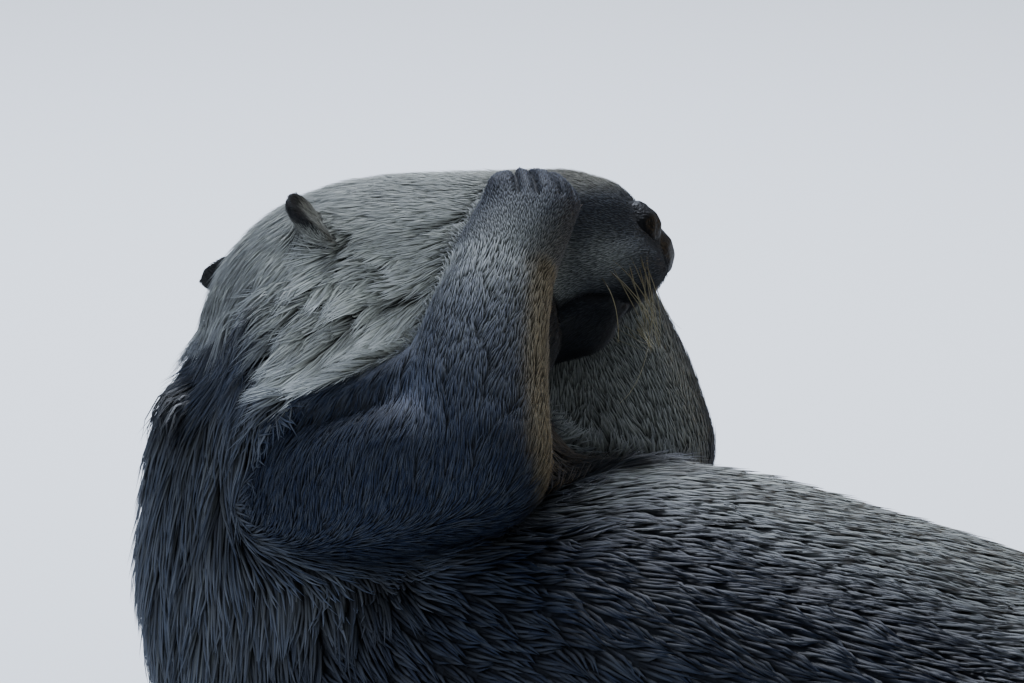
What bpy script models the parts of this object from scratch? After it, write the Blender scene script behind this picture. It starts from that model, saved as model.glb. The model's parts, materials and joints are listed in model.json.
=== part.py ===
"""A life-size sea otter at rest on its back, with both forepaws pressed to its face.

Body frame, in centimetres, before the animal is rolled and set down: +X runs from head to tail, +Y is
the animal's left, +Z is its belly side. The tip of the nose lies over x = 0. One named object is made
for each part that a person would name.
"""

import math

import bmesh
import bpy
import numpy as np
from mathutils import Matrix, Vector

# ---------------------------------------------------------------- driving sizes, in centimetres
CM = 0.01
GAP = 0.04  # width of the thin flat cuts that part the body
CLEARANCE = 0.06  # clear space round a solid that is set into another
CRUMB = 0.6  # a cut-off scrap smaller than this, in cubic centimetres, is dropped
BACK = -26.4  # level of the floor, below the tip of the nose
GROUND_REACH = 150.0
GROUND_DEPTH = 20.0

LEAN_DEG = 12.0  # the whole body leans this much onto its left side
LEAN_YAW_DEG = 18.0  # the level line about which it leans is this much off the body's length
NOSE_TIP = Vector((0.0, 3.5, 0.0))
HEAD_TURN_DEG = 28.0  # the face turns to the animal's left
HEAD_TILT_DEG = 9.0  # the right cheek is lifted
HEAD_NOD_DEG = 6.0  # the nose is lifted

EYE_RADIUS = 0.72
SIDES = {-1: "right", 1: "left"}

# How each blended skin is made: size of its voxels, rounds of smoothing, triangles kept.
BODY_SKIN = (0.35, 5, 3100)
ARM_SKIN = (0.22, 4, 640)
NOSE_SKIN = (0.1, 3, 200)
SHARP_DEG = 50.0  # an edge sharper than this is shaded as an edge

# Colour and roughness of each finish.
FINISHES = {
    "coat_pale_grey": ((0.30, 0.28, 0.25), 0.55),
    "coat_dark_brown": ((0.06, 0.05, 0.045), 0.5),
    "coat_short_brown": ((0.04, 0.034, 0.032), 0.5),
    "skin_black": ((0.008, 0.008, 0.009), 0.3),
    "eye_dark": ((0.01, 0.007, 0.005), 0.05),
}
FINISH_OF = {
    "head": "coat_pale_grey",
    "neck": "coat_dark_brown",
    "chest": "coat_dark_brown",
    "belly": "coat_dark_brown",
    "hips": "coat_dark_brown",
    "tail": "coat_dark_brown",
    "upper_arm": "coat_dark_brown",
    "forearm": "coat_dark_brown",
    "paw": "coat_short_brown",
    "leg": "coat_dark_brown",
    "hind_foot": "coat_short_brown",
    "ear": "coat_short_brown",
    "eye": "eye_dark",
    "nose": "skin_black",
}


# ---------------------------------------------------------------- scene, meshes and materials
def clear_scene():
    for obj in list(bpy.data.objects):
        bpy.data.objects.remove(obj)


def finish(name):
    """The named finish, as a Principled BSDF."""
    colour, roughness = FINISHES[name]
    made = bpy.data.materials.new(name)
    made.use_nodes = True
    shader = made.node_tree.nodes["Principled BSDF"]
    shader.inputs["Base Color"].default_value = (*colour, 1)
    shader.inputs["Roughness"].default_value = roughness
    return made


def new_object(name, mesh):
    obj = bpy.data.objects.new(name, mesh)
    bpy.context.scene.collection.objects.link(obj)
    return obj


def mesh_from(name, points, faces):
    mesh = bpy.data.meshes.new(name)
    mesh.from_pydata([tuple(p) for p in points], [], faces)
    work = bmesh.new()
    work.from_mesh(mesh)
    bmesh.ops.recalc_face_normals(work, faces=work.faces)
    work.to_mesh(mesh)
    work.free()
    return mesh


def evaluated_mesh(obj):
    graph = bpy.context.evaluated_depsgraph_get()
    return bpy.data.meshes.new_from_object(obj.evaluated_get(graph), depsgraph=graph)


def bake(obj):
    """Applies the object's modifiers to its own mesh."""
    mesh = evaluated_mesh(obj)
    obj.modifiers.clear()
    obj.data = mesh
    return obj


# ---------------------------------------------------------------- shapes
def smooth_rows(rows, steps):
    """Catmull-Rom rows between the given ones, so that a few stations give a smooth form."""
    rows = np.array(rows, float)
    padded = np.vstack([2 * rows[0] - rows[1], rows, 2 * rows[-1] - rows[-2]])
    out = []
    for i in range(len(rows) - 1):
        a, b, c, d = padded[i : i + 4]
        for t in np.arange(steps) / steps:
            second = 2 * a - 5 * b + 4 * c - d
            third = 3 * b - a - 3 * c + d
            out.append(0.5 * (2 * b + (c - a) * t + second * t**2 + third * t**3))
    out.append(rows[-1])
    return np.array(out)


def section(centre, side, up, half_side, half_up, half_down, power, count):
    """One closed section, a superellipse whose upper and lower halves may differ in height."""
    points = []
    for k in range(count):
        angle = 2 * math.pi * k / count
        c, s = math.cos(angle), math.sin(angle)
        across = math.copysign(abs(c) ** (2 / power), c) * half_side
        along = math.copysign(abs(s) ** (2 / power), s) * (half_up if s > 0 else half_down)
        points.append(centre + side * across + up * along)
    return points


def skin_over(name, sections):
    """A closed tube through equal sections, with its two ends filled."""
    count = len(sections[0])
    points = [p for ring in sections for p in ring]
    faces = []
    for i in range(len(sections) - 1):
        for k in range(count):
            n = (k + 1) % count
            faces.append((i * count + k, i * count + n, (i + 1) * count + n, (i + 1) * count + k))
    last = (len(sections) - 1) * count
    faces.append(tuple(range(count)))
    faces.append(tuple(range(last, last + count)))
    return new_object(name, mesh_from(name, points, faces))


def limb(name, stations, side_hint, power=2.0, steps=5, count=28):
    """A tube along stations (x, y, z, half width, half thickness), its width along side_hint."""
    rows = smooth_rows(stations, steps)
    centres = [Vector(row[:3]) for row in rows]
    sections = []
    for i, row in enumerate(rows):
        ahead = centres[min(i + 1, len(rows) - 1)] - centres[max(i - 1, 0)]
        side = Vector(side_hint) - Vector(side_hint).project(ahead)
        side.normalize()
        up = ahead.cross(side).normalized()
        sections.append(section(centres[i], side, up, row[3], row[4], row[4], power, count))
    return skin_over(name, sections)


def ball(name, centre, radii, turn=None, rings=16):
    """An ellipsoid with its radii along the axes of turn."""
    mesh = bpy.data.meshes.new(name)
    work = bmesh.new()
    bmesh.ops.create_uvsphere(work, u_segments=2 * rings, v_segments=rings, radius=1.0)
    scale = Matrix.Diagonal((*radii, 1.0))
    place = Matrix.Translation(Vector(centre)) @ (turn.to_4x4() if turn else Matrix()) @ scale
    work.transform(place)
    work.to_mesh(mesh)
    work.free()
    return new_object(name, mesh)


def blend(name, pieces, voxel, rounds, triangles):
    """One smooth closed skin round overlapping pieces, thinned to about the given number of triangles."""
    work = bmesh.new()
    for piece in pieces:
        work.from_mesh(piece.data)
        bpy.data.objects.remove(piece)
    mesh = bpy.data.meshes.new(name)
    work.to_mesh(mesh)
    work.free()
    obj = new_object(name, mesh)
    remesh = obj.modifiers.new("join", "REMESH")
    remesh.mode = "VOXEL"
    remesh.voxel_size = voxel
    relax = obj.modifiers.new("relax", "SMOOTH")
    relax.factor = 0.5
    relax.iterations = rounds
    bake(obj)
    thin = obj.modifiers.new("thin", "DECIMATE")
    thin.ratio = triangles / sum(len(f.vertices) - 2 for f in obj.data.polygons)
    return bake(obj)


def swell(mesh, by):
    """Moves each point out along its normal, in place."""
    normals = [v.normal.copy() for v in mesh.vertices]
    for vertex, normal in zip(mesh.vertices, normals):
        vertex.co += normal * by
    return mesh


def slab(centre, normal, ahead, reach, half_across, thick=GAP):
    """A flat box. It reaches from reach[0] to reach[1] along ahead, and half_across each way."""
    normal = Vector(normal).normalized()
    ahead = Vector(ahead) - Vector(ahead).project(normal)
    ahead.normalize()
    across = normal.cross(ahead)
    points = []
    for lift in (-thick / 2, thick / 2):
        for forth, side in ((0, -1), (1, -1), (1, 1), (0, 1)):
            corner = Vector(centre) + ahead * reach[forth] + across * side * half_across
            points.append(corner + normal * lift)
    faces = [(3, 2, 1, 0), (4, 5, 6, 7), (0, 1, 5, 4), (1, 2, 6, 5), (2, 3, 7, 6), (3, 0, 4, 7)]
    return new_object("cutter", mesh_from("cutter", points, faces))


def cut_by(obj, cutters):
    """Takes each cutter's room from obj, and removes the cutters."""
    for cutter in cutters:
        cut = obj.modifiers.new("cut", "BOOLEAN")
        cut.operation = "DIFFERENCE"
        cut.object = cutter
        bake(obj)
        bpy.data.objects.remove(cutter)
    return obj


def keep_clear(obj, others):
    """Cuts from obj the room that others take, with the gap between neighbours."""
    return cut_by(obj, [new_object("cutter", swell(other.data.copy(), CLEARANCE)) for other in others])


def shells(mesh):
    """The separate closed shells of a mesh, each as its set of faces."""
    left = set(mesh.faces)
    found = []
    while left:
        seed = left.pop()
        shell, edge = {seed}, [seed]
        while edge:
            for side in edge.pop().edges:
                fresh = [face for face in side.link_faces if face in left]
                left.difference_update(fresh)
                shell.update(fresh)
                edge.extend(fresh)
        found.append(shell)
    return found


def part_by(obj, cutters, names):
    """Parts obj with thin cuts. Each piece takes the name whose place is nearest one of its faces."""
    cut_by(obj, cutters)
    work = bmesh.new()
    work.from_mesh(obj.data)
    work.faces.ensure_lookup_table()
    made = {}
    for shell in shells(work):
        piece = bmesh.new()
        copies = {}
        for face in shell:
            corners = []
            for vertex in face.verts:
                if vertex not in copies:
                    copies[vertex] = piece.verts.new(vertex.co)
                corners.append(copies[vertex])
            piece.faces.new(corners)
        piece.normal_update()
        if piece.calc_volume() < CRUMB:
            piece.free()
            continue
        mesh = bpy.data.meshes.new("piece")
        piece.to_mesh(mesh)
        name = min(names, key=lambda n: min((v.co - Vector(names[n])).length for v in piece.verts))
        piece.free()
        if name in made:
            raise ValueError(f"two pieces lie nearest {name}")
        made[name] = new_object(name, mesh)
    work.free()
    bpy.data.objects.remove(obj)
    return made


# ---------------------------------------------------------------- the head's own frame
def head_matrix():
    """Head frame, +X out of the nose, +Y the animal's left, +Z the crown, set at the tip of the nose."""
    turn = Matrix.Rotation(math.radians(HEAD_TURN_DEG), 4, "Z")
    nod = Matrix.Rotation(-math.radians(HEAD_NOD_DEG), 4, "Y")
    tilt = Matrix.Rotation(-math.radians(HEAD_TILT_DEG), 4, "X")
    return Matrix.Translation(NOSE_TIP) @ turn @ tilt @ nod


HEAD = head_matrix()
HEAD_TURN = HEAD.to_3x3()

# Distance behind the nose tip, half width, top and underside of the head's outline.
SKULL = [
    (-0.7, 1.5, 1.7, -0.95),
    (-1.8, 2.3, 2.75, -1.55),
    (-3.4, 2.9, 3.3, -2.35),
    (-5.0, 3.5, 3.45, -3.35),
    (-7.0, 4.5, 3.6, -4.6),
    (-9.5, 5.5, 3.75, -5.6),
    (-12.0, 6.1, 3.5, -6.2),
    (-14.0, 5.8, 2.65, -6.2),
    (-15.5, 4.7, 1.1, -5.6),
    (-16.3, 2.8, -0.4, -4.0),
]


def on_head(x, y, z):
    return HEAD @ Vector((x, y, z))


def skull():
    rows = smooth_rows(SKULL, 6)
    side, up = HEAD_TURN @ Vector((0, 1, 0)), HEAD_TURN @ Vector((0, 0, 1))
    sections = []
    for x, half, top, under in rows:
        middle = (top + under) / 2
        tall = (top - under) / 2
        sections.append(section(on_head(x, 0, middle), side, up, half, tall, tall, 2.2, 36))
    return skin_over("skull", sections)


def face_forms():
    """Whisker pads, chin, cheeks and brows, as overlapping rounded forms."""
    forms = [ball("chin", on_head(-3.9, 0, -2.15), (1.75, 1.6, 1.0), HEAD_TURN)]
    for side in (-1, 1):
        forms += [
            ball("whisker_pad", on_head(-2.45, side * 1.6, -0.5), (2.0, 1.6, 1.3), HEAD_TURN),
            ball("cheek", on_head(-8.6, side * 3.7, -2.2), (3.9, 2.3, 3.0), HEAD_TURN),
            ball("brow", on_head(-5.3, side * 2.3, 1.75), (1.6, 1.0, 0.8), HEAD_TURN),
        ]
    return forms


def nose_pad():
    forms = [
        ball("pad", on_head(-0.95, 0, 0.15), (0.95, 1.35, 1.0), HEAD_TURN),
        ball("pad_top", on_head(-1.4, 0, 1.0), (1.0, 1.25, 1.05), HEAD_TURN),
    ]
    for side in (-1, 1):
        forms.append(ball("wing", on_head(-1.5, side * 1.15, 0.9), (0.95, 0.85, 0.95), HEAD_TURN))
    return blend("nose", forms, *NOSE_SKIN)


EYE_PLACE = (-5.15, 2.95, 0.95)


def eyeball(name, side):
    x, y, z = EYE_PLACE
    return ball(name, on_head(x, side * y, z), (EYE_RADIUS,) * 3, HEAD_TURN, rings=6)


EAR_SIDES = 7
EAR_BASE = {-1: (-12.8, 4.85, 1.6), 1: (-13.0, 4.75, 1.1)}
EAR_TIP = {-1: (-1.0, 1.55, 0.65), 1: (-1.9, 2.0, 0.55)}  # how far each tip stands from its base
# Share of the ear's length, half width of the leaf, depth of its roll, half thickness.
EAR_LEAF = [
    (-0.3, 0.95, 0.30, 0.42),
    (0.1, 1.1, 0.42, 0.34),
    (0.45, 1.05, 0.45, 0.27),
    (0.75, 0.8, 0.34, 0.22),
    (0.95, 0.42, 0.16, 0.17),
    (1.03, 0.16, 0.04, 0.1),
]


def ear(name, side):
    """A short leaf, rolled forward round a shallow hollow."""
    base = Vector(EAR_BASE[side])
    reach = Vector(EAR_TIP[side])
    base.y *= side
    reach.y *= side
    along = (HEAD_TURN @ reach).normalized()
    back = HEAD_TURN @ Vector((-1.0, 0.0, -0.35))
    back = (back - back.project(along)).normalized()
    across = along.cross(back)
    sections = []
    for share, half, roll, thick in smooth_rows(EAR_LEAF, 2):
        middle = on_head(*base) + along * reach.length * share
        ring = []
        for turn in (1, -1):
            for k in range(EAR_SIDES):
                c = turn * math.cos(math.pi * k / EAR_SIDES)
                bend = roll * c * c
                out = thick * math.sin(math.pi * k / EAR_SIDES) * turn
                ring.append(middle + across * half * c - back * (bend + out))
        sections.append(ring)
    return skin_over(name, sections)


# ---------------------------------------------------------------- neck and trunk
# x, y, z of the middle, half width, half depth.
TRUNK = [
    (65.0, 0.0, -28.0, 3.4, 3.0),
    (61.0, 0.0, -26.6, 6.2, 4.8),
    (55.0, 0.0, -24.6, 9.4, 6.3),
    (47.0, 0.0, -23.1, 11.6, 7.2),
    (36.0, 0.0, -21.6, 13.2, 7.9),
    (24.0, 0.0, -20.2, 14.2, 8.5),
    (14.0, 0.0, -19.3, 14.1, 8.8),
    (8.0, 0.0, -18.2, 13.6, 9.6),
    (2.0, 0.0, -17.2, 12.9, 10.2),
    (-3.0, -0.1, -15.8, 12.0, 9.9),
    (-6.8, -0.5, -13.2, 10.4, 9.2),
    (-9.1, -1.0, -9.8, 8.4, 8.0),
    (-9.8, -1.6, -6.2, 7.0, 6.6),
    (-9.8, -2.2, -3.2, 6.0, 5.6),
]


def trunk():
    return limb("trunk", TRUNK, (0, 1, 0), power=2.45, steps=6, count=40)


# ---------------------------------------------------------------- forelimbs, both paws on the face
LIMB_SIDE = (1, 0, 0.2)  # the way a forearm's and a paw's width lies

UPPER_ARM = {
    -1: [
        (-9.4, -6.2, -8.4, 2.5, 3.2),
        (-7.4, -8.0, -7.5, 2.5, 2.7),
        (-4.9, -9.0, -6.9, 2.4, 2.3),
        (-2.6, -9.2, -6.5, 2.2, 2.0),
    ],
    1: [
        (-9.2, 4.8, -8.8, 2.5, 3.2),
        (-7.4, 7.0, -7.9, 2.5, 2.7),
        (-4.9, 8.5, -7.2, 2.4, 2.3),
        (-2.5, 9.0, -6.8, 2.2, 2.0),
    ],
}
FOREARM = {
    -1: [
        (-2.5, -9.2, -6.6, 2.3, 2.1),
        (-3.15, -8.0, -4.4, 2.4, 2.1),
        (-3.35, -6.3, -2.1, 2.1, 1.9),
        (-3.3, -4.8, -0.4, 1.75, 1.6),
    ],
    1: [
        (-2.4, 9.0, -6.8, 2.3, 2.1),
        (-2.95, 8.0, -4.5, 2.3, 2.1),
        (-3.3, 6.9, -2.4, 2.0, 1.8),
        (-3.4, 6.1, -1.1, 1.7, 1.6),
    ],
}
PAW = {
    -1: [(-3.3, -4.8, -0.3, 1.75, 1.6), (-2.95, -3.55, 1.3, 1.75, 1.25), (-2.9, -2.6, 2.2, 1.6, 0.9)],
    1: [(-3.5, 6.1, -1.0, 1.65, 1.5), (-4.15, 5.9, 0.0, 1.7, 1.2), (-5.0, 5.5, 0.8, 1.6, 0.9)],
}
SKIN_FOLD = {
    -1: [
        (-3.7, -6.8, -3.4, 1.6, 1.9),
        (-6.3, -7.6, -5.2, 1.8, 1.8),
        (-9.2, -7.3, -5.9, 1.8, 1.8),
        (-11.4, -4.8, -6.2, 1.8, 1.9),
    ],
    1: [
        (-3.8, 6.8, -3.6, 1.6, 1.9),
        (-6.4, 7.2, -5.6, 1.8, 1.8),
        (-9.0, 6.0, -6.4, 1.8, 1.8),
        (-11.0, 3.4, -6.8, 1.8, 1.9),
    ],
}


# Each toe's place across the paw, and how far it reaches past the palm.
TOES = [(-1.25, 0.2), (-0.65, 0.7), (0.0, 0.85), (0.65, 0.7), (1.25, 0.25)]
TOE_ROOT, TOE_KNUCKLE, TOE_END = 0.5, 0.56, 0.42  # radii along one toe


def toes(side):
    """Five short toes that end the paw, side by side across it."""
    wrist, palm, end = (Vector(row[:3]) for row in PAW[side])
    along = (end - palm).normalized()
    away = (HEAD_TURN @ Vector((0, side, 0.4))).normalized()
    across = along.cross(away).normalized()
    made = []
    for spread, reach in TOES:
        root = palm + across * spread * 0.75 + away * 0.15
        tip = end + across * spread + along * reach - away * 0.35
        knuckle = (root + tip) / 2 + away * 0.45
        stations = ((root, TOE_ROOT), (knuckle, TOE_KNUCKLE), (tip, TOE_END))
        made.append(limb("toe", [(*at, r, r) for at, r in stations], LIMB_SIDE, steps=3, count=12))
        made.append(ball("toe_end", tip, (1.1 * TOE_END,) * 3, rings=6))
    return made


def arm(name, side):
    pieces = [limb("upper", UPPER_ARM[side], (0, 0.3, 1)), limb("fore", FOREARM[side], LIMB_SIDE)]
    pieces += [limb("paw", PAW[side], LIMB_SIDE), limb("fold", SKIN_FOLD[side], (0, 0, 1))]
    pieces.append(ball("elbow", UPPER_ARM[side][-1][:3], (2.3, 2.1, 2.2)))
    pieces.append(ball("shoulder", UPPER_ARM[side][0][:3], (3.0, 2.8, 2.8)))
    pieces.append(ball("paw_end", PAW[side][-1][:3], (1.35, 0.9, 0.85)))
    return blend(name, pieces + toes(side), *ARM_SKIN)


# ---------------------------------------------------------------- hind limbs and tail
LEG = [
    (50.0, 7.0, -23.6, 5.0, 4.6),
    (56.0, 9.8, -23.0, 4.4, 3.6),
    (61.5, 10.0, -21.8, 3.0, 2.6),
    (65.5, 10.0, -20.2, 2.5, 1.9),
]


def hind_leg(side):
    """Thigh and shin, folded in loose skin beside the hips."""
    rows = [(x, side * y, z, wide, thick) for x, y, z, wide, thick in LEG]
    return limb("leg", rows, (0, 1, 0), steps=5, count=24)


# Hind foot: its heel, and its web as distance along, shift across, half width and half thickness.
HEEL = (64.5, 10.0, -21.0)
WEB = [
    (0.0, 0.0, 2.2, 1.5),
    (5.0, 0.2, 2.9, 1.2),
    (10.0, 0.7, 4.2, 0.85),
    (15.0, 1.3, 5.5, 0.6),
    (18.5, 2.0, 5.7, 0.45),
    (20.0, 2.6, 4.6, 0.35),
]
HIND_TOES = 5
INNER_TOE, OUTER_TOE = 13.5, 19.0  # lengths past the root of the web
INNER_FAN_DEG, OUTER_FAN_DEG = -15.0, 21.0
HIND_TOE = [(0.0, 1.0), (0.5, 0.8), (0.8, 0.72), (1.0, 0.5)]  # share of a toe's length, radius


def flipper(side):
    """A long webbed hind foot, its outer toe the longest, held up off the floor."""
    heel = Vector((HEEL[0], side * HEEL[1], HEEL[2]))
    along = Vector((0.80, side * 0.26, 0.54)).normalized()
    across = Vector((-0.22, side * 0.97, -0.14))
    across = (across - across.project(along)).normalized()
    rows = [(*(heel + along * far + across * aside), wide, thick) for far, aside, wide, thick in WEB]
    made = [limb("web", rows, tuple(across), power=2.4, steps=4, count=24)]
    for k in range(HIND_TOES):
        spread = k / (HIND_TOES - 1)
        length = INNER_TOE + (OUTER_TOE - INNER_TOE) * spread
        fan = math.radians(INNER_FAN_DEG + (OUTER_FAN_DEG - INNER_FAN_DEG) * spread)
        start = heel + along * 3.0 + across * (-1.4 + 2.8 * spread)
        ray = along * math.cos(fan) + across * math.sin(fan)
        toe = [(*(start + ray * share * length), r, 0.85 * r) for share, r in HIND_TOE]
        made.append(limb("toe", toe, tuple(across), steps=3, count=12))
        made.append(ball("toe_end", start + ray * length, (0.55, 0.55, 0.5), rings=6))
    return made


# In the floor's own level frame: distance along, across and up, half width, half thickness.
TAIL = [
    (58.0, -3.9, 4.4, 4.6, 3.8),
    (64.0, -3.6, 2.9, 4.0, 3.0),
    (71.0, -2.8, 2.1, 3.5, 2.3),
    (79.0, -1.4, 1.6, 3.2, 1.8),
    (86.0, 0.6, 1.25, 2.6, 1.45),
    (90.5, 2.2, 0.95, 1.7, 1.1),
    (93.0, 3.2, 0.75, 0.8, 0.7),
]


def tail():
    return limb("tail", TAIL, (0, 1, 0), power=2.3, steps=5, count=28)


# ---------------------------------------------------------------- build
LEAN_AXIS = Vector((math.cos(math.radians(LEAN_YAW_DEG)), math.sin(math.radians(LEAN_YAW_DEG)), 0))
LEAN = Matrix.Rotation(-math.radians(LEAN_DEG), 4, LEAN_AXIS)


# Flat cuts: middle, normal, the way their reach is counted, reach back and forth, half width.
MIDDLE_CUTS = [
    ((-10.0, -2.0, -3.8), (0.17, 0, 0.985), (1, 0, 0), (-9, 7.8), 11),  # throat
    ((-7.6, -0.7, -12.0), (0.64, 0, -0.77), (1, 0, 1), (-14, 11), 18),  # shoulders
    ((14.0, 0, -17.0), (1, 0, 0), (0, 0, 1), (-14, 14), 20),  # waist
    ((40.0, 0, -21.0), (1, 0, 0), (0, 0, 1), (-14, 14), 20),  # hips
    ((63.6, 0, -27.0), (1, 0, 0), (0, 0, 1), (-8, 6), 6.6),  # root of the tail
]


def body_cuts():
    """The middle cuts, with one across each thigh and one at each heel."""
    cuts = [slab(*row) for row in MIDDLE_CUTS]
    for side in (-1, 1):
        cuts.append(slab((58.6, side * 8.0, -22.5), (0.75, side * 0.62, 0.2), (0, 0, 1), (-8, 8), 8))
        cuts.append(slab((66.4, side * 10.6, -19.9), (0.80, side * 0.26, 0.54), (0, 0, 1), (-5, 5), 5))
    return cuts


# A place inside or near each part, by which the cut pieces are told apart.
BODY_PLACES = {
    "head": (-6, 1, 2),
    "neck": (-17, -1, -9),
    "chest": (6, 0, -8),
    "belly": (28, 0, -12),
    "hips": (47, 0, -16),
    "tail": (92, 0, -31),
    "leg_right": (63, -10, -20),
    "leg_left": (63, 10, -20),
    "hind_foot_right": (82, -15, -11),
    "hind_foot_left": (82, 15, -11),
}


# Middle and normal of the flat cuts at the elbow and at the wrist.
ELBOW_CUT = {-1: ((-3.1, -8.6, -4.9), (0.45, 0.35, 0.82)), 1: ((-3.2, 8.3, -4.9), (0.45, -0.35, 0.82))}
WRIST_CUT = {-1: ((-3.25, -4.7, -0.25), (0.1, 0.6, 0.79)), 1: ((-3.5, 6.1, -0.9), (-0.3, -0.2, 0.93))}


def arm_cuts(side):
    elbow = slab(*ELBOW_CUT[side], (1, 0, 0), (-8, 7), 8)
    wrist = slab(*WRIST_CUT[side], (1, 0, 0), (-4, 4), 4)
    return [elbow, wrist]


def arm_places(side):
    word = SIDES[side]
    return {
        f"upper_arm_{word}": UPPER_ARM[side][1][:3],
        f"forearm_{word}": FOREARM[side][2][:3],
        f"paw_{word}": PAW[side][-1][:3],
    }


def whole_body():
    """Trunk, neck, head, hind limbs and tail under one smooth skin, the tail laid along the floor."""
    pieces = [trunk(), skull(), *face_forms()]
    for side in (-1, 1):
        pieces += [hind_leg(side), *flipper(side)]
    laid = tail()
    laid.data.transform(LEAN.inverted() @ Matrix.Translation((0, 0, BACK)))
    return blend("body", [*pieces, laid], *BODY_SKIN)


def make_nodes():
    """Every named part, closed, apart from its neighbours, in the body's own frame."""
    body = whole_body()
    arms = {side: arm("arm", side) for side in (-1, 1)}
    nodes = {"nose": nose_pad()}
    for side, word in SIDES.items():
        nodes[f"eye_{word}"] = eyeball(f"eye_{word}", side)
        nodes[f"ear_{word}"] = keep_clear(ear(f"ear_{word}", side), [body])
    keep_clear(body, [*arms.values(), nodes["nose"], nodes["eye_right"], nodes["eye_left"]])
    for side, whole in arms.items():
        keep_clear(whole, [nodes[f"eye_{SIDES[side]}"]])
        nodes.update(part_by(whole, arm_cuts(side), arm_places(side)))
    nodes.update(part_by(body, body_cuts(), BODY_PLACES))
    return nodes


def press_on_floor(nodes):
    """Leans the parts, and flattens whatever lies lower than the floor."""
    for name, node in nodes.items():
        node.data.transform(LEAN)
        if min(v.co.z for v in node.data.vertices) < BACK:
            middle = Vector((0, 0, BACK - GROUND_DEPTH / 2))
            reach = (-GROUND_REACH, GROUND_REACH)
            cut_by(node, [slab(middle, (0, 0, 1), (1, 0, 0), reach, GROUND_REACH, GROUND_DEPTH)])


def set_down(nodes):
    """Moves the parts, in metres, to stand with the middle of their box's underside at the origin."""
    corners = [v.co for node in nodes.values() for v in node.data.vertices]
    low = Vector(min(c[k] for c in corners) for k in range(3))
    high = Vector(max(c[k] for c in corners) for k in range(3))
    middle = Vector(((low.x + high.x) / 2, (low.y + high.y) / 2, low.z))
    for node in nodes.values():
        node.data.transform(Matrix.Scale(CM, 4) @ Matrix.Translation(-middle))


def main():
    clear_scene()
    nodes = make_nodes()
    press_on_floor(nodes)
    set_down(nodes)
    finishes = {name: finish(name) for name in FINISHES}
    for name, node in nodes.items():
        node.name = name
        part = name.removesuffix("_left").removesuffix("_right")
        node.data.materials.append(finishes[FINISH_OF[part]])
        node.data.shade_smooth()
        node.data.set_sharp_from_angle(angle=math.radians(SHARP_DEG))


main()
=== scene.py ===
# %% [markdown]
# # A life-size sea otter lying on its back
#
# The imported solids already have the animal's outline, out to the tips of its fur. This notebook gives them
# their looks. One skin is drawn under the whole body, a coat of pointed tufts is combed over that skin, and
# the bare parts are made by themselves: the nose, the eyes, the whiskers and the claws. Lengths that the eye
# judges on an animal are small, so they are written in millimetres or centimetres and turned to metres once.

# %% Tools and units
import json
import math

import bmesh
import bpy
import numpy as np
from mathutils import Matrix, Vector, noise
from mathutils.bvhtree import BVHTree

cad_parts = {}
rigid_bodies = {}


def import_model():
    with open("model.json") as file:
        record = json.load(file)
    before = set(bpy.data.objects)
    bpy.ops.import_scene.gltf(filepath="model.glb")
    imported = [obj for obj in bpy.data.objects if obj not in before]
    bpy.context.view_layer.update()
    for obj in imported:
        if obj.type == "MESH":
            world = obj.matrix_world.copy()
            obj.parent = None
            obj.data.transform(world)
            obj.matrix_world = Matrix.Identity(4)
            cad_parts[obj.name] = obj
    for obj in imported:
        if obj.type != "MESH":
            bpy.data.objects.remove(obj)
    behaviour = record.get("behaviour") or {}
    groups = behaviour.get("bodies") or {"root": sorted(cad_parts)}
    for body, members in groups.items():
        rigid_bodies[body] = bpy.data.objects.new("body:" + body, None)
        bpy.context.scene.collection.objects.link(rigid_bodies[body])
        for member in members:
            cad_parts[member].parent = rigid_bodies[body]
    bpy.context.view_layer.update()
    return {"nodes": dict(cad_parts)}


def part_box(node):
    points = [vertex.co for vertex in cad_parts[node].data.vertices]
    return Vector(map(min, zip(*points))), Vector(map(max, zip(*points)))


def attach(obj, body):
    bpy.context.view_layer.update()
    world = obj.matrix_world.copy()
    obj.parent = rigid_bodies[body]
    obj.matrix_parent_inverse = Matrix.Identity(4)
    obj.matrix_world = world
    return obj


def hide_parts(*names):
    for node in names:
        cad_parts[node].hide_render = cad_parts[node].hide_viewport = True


MM = 0.001
CM = 0.01

for leftover in list(bpy.data.objects):
    bpy.data.objects.remove(leftover)

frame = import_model()

# %% [markdown]
# ## The head's own directions
#
# The head is turned, tilted and lifted, so places on the face are awkward in the room's directions. They are
# easy in the head's own: x runs out of the nose, y to the animal's left and z to the crown, in centimetres
# from the tip of the nose. The two eyes and the nose pad in the frame are enough to find those directions.

# %% Head frame
EYES_BEHIND_NOSE = 5.15
EYES_ABOVE_NOSE = 0.95
NOSE_BELOW_EYES_DEG = 5.86


def centre(node):
    """The middle of a node's box."""
    low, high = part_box(node)
    return (low + high) / 2


between_eyes = (centre("eye_left") + centre("eye_right")) / 2
LEFT = (centre("eye_left") - centre("eye_right")).normalized()
to_nose = centre("nose") - between_eyes
to_nose = (to_nose - to_nose.project(LEFT)).normalized()
AHEAD = Matrix.Rotation(-math.radians(NOSE_BELOW_EYES_DEG), 3, LEFT) @ to_nose
CROWN = AHEAD.cross(LEFT)
NOSE_TIP = between_eyes + (AHEAD * EYES_BEHIND_NOSE - CROWN * EYES_ABOVE_NOSE) * CM
HEAD_AXES = np.array([AHEAD, LEFT, CROWN])


def on_head(x, y, z):
    """A place on the head, given in its own directions in centimetres, in the room."""
    return NOSE_TIP + (AHEAD * x + LEFT * y + CROWN * z) * CM


def in_head(points):
    """Room points as rows of the head's own x, y and z, in centimetres."""
    return (points - np.array(NOSE_TIP)) @ HEAD_AXES.T / CM


print("nose tip at", [round(v, 4) for v in NOSE_TIP])

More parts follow.
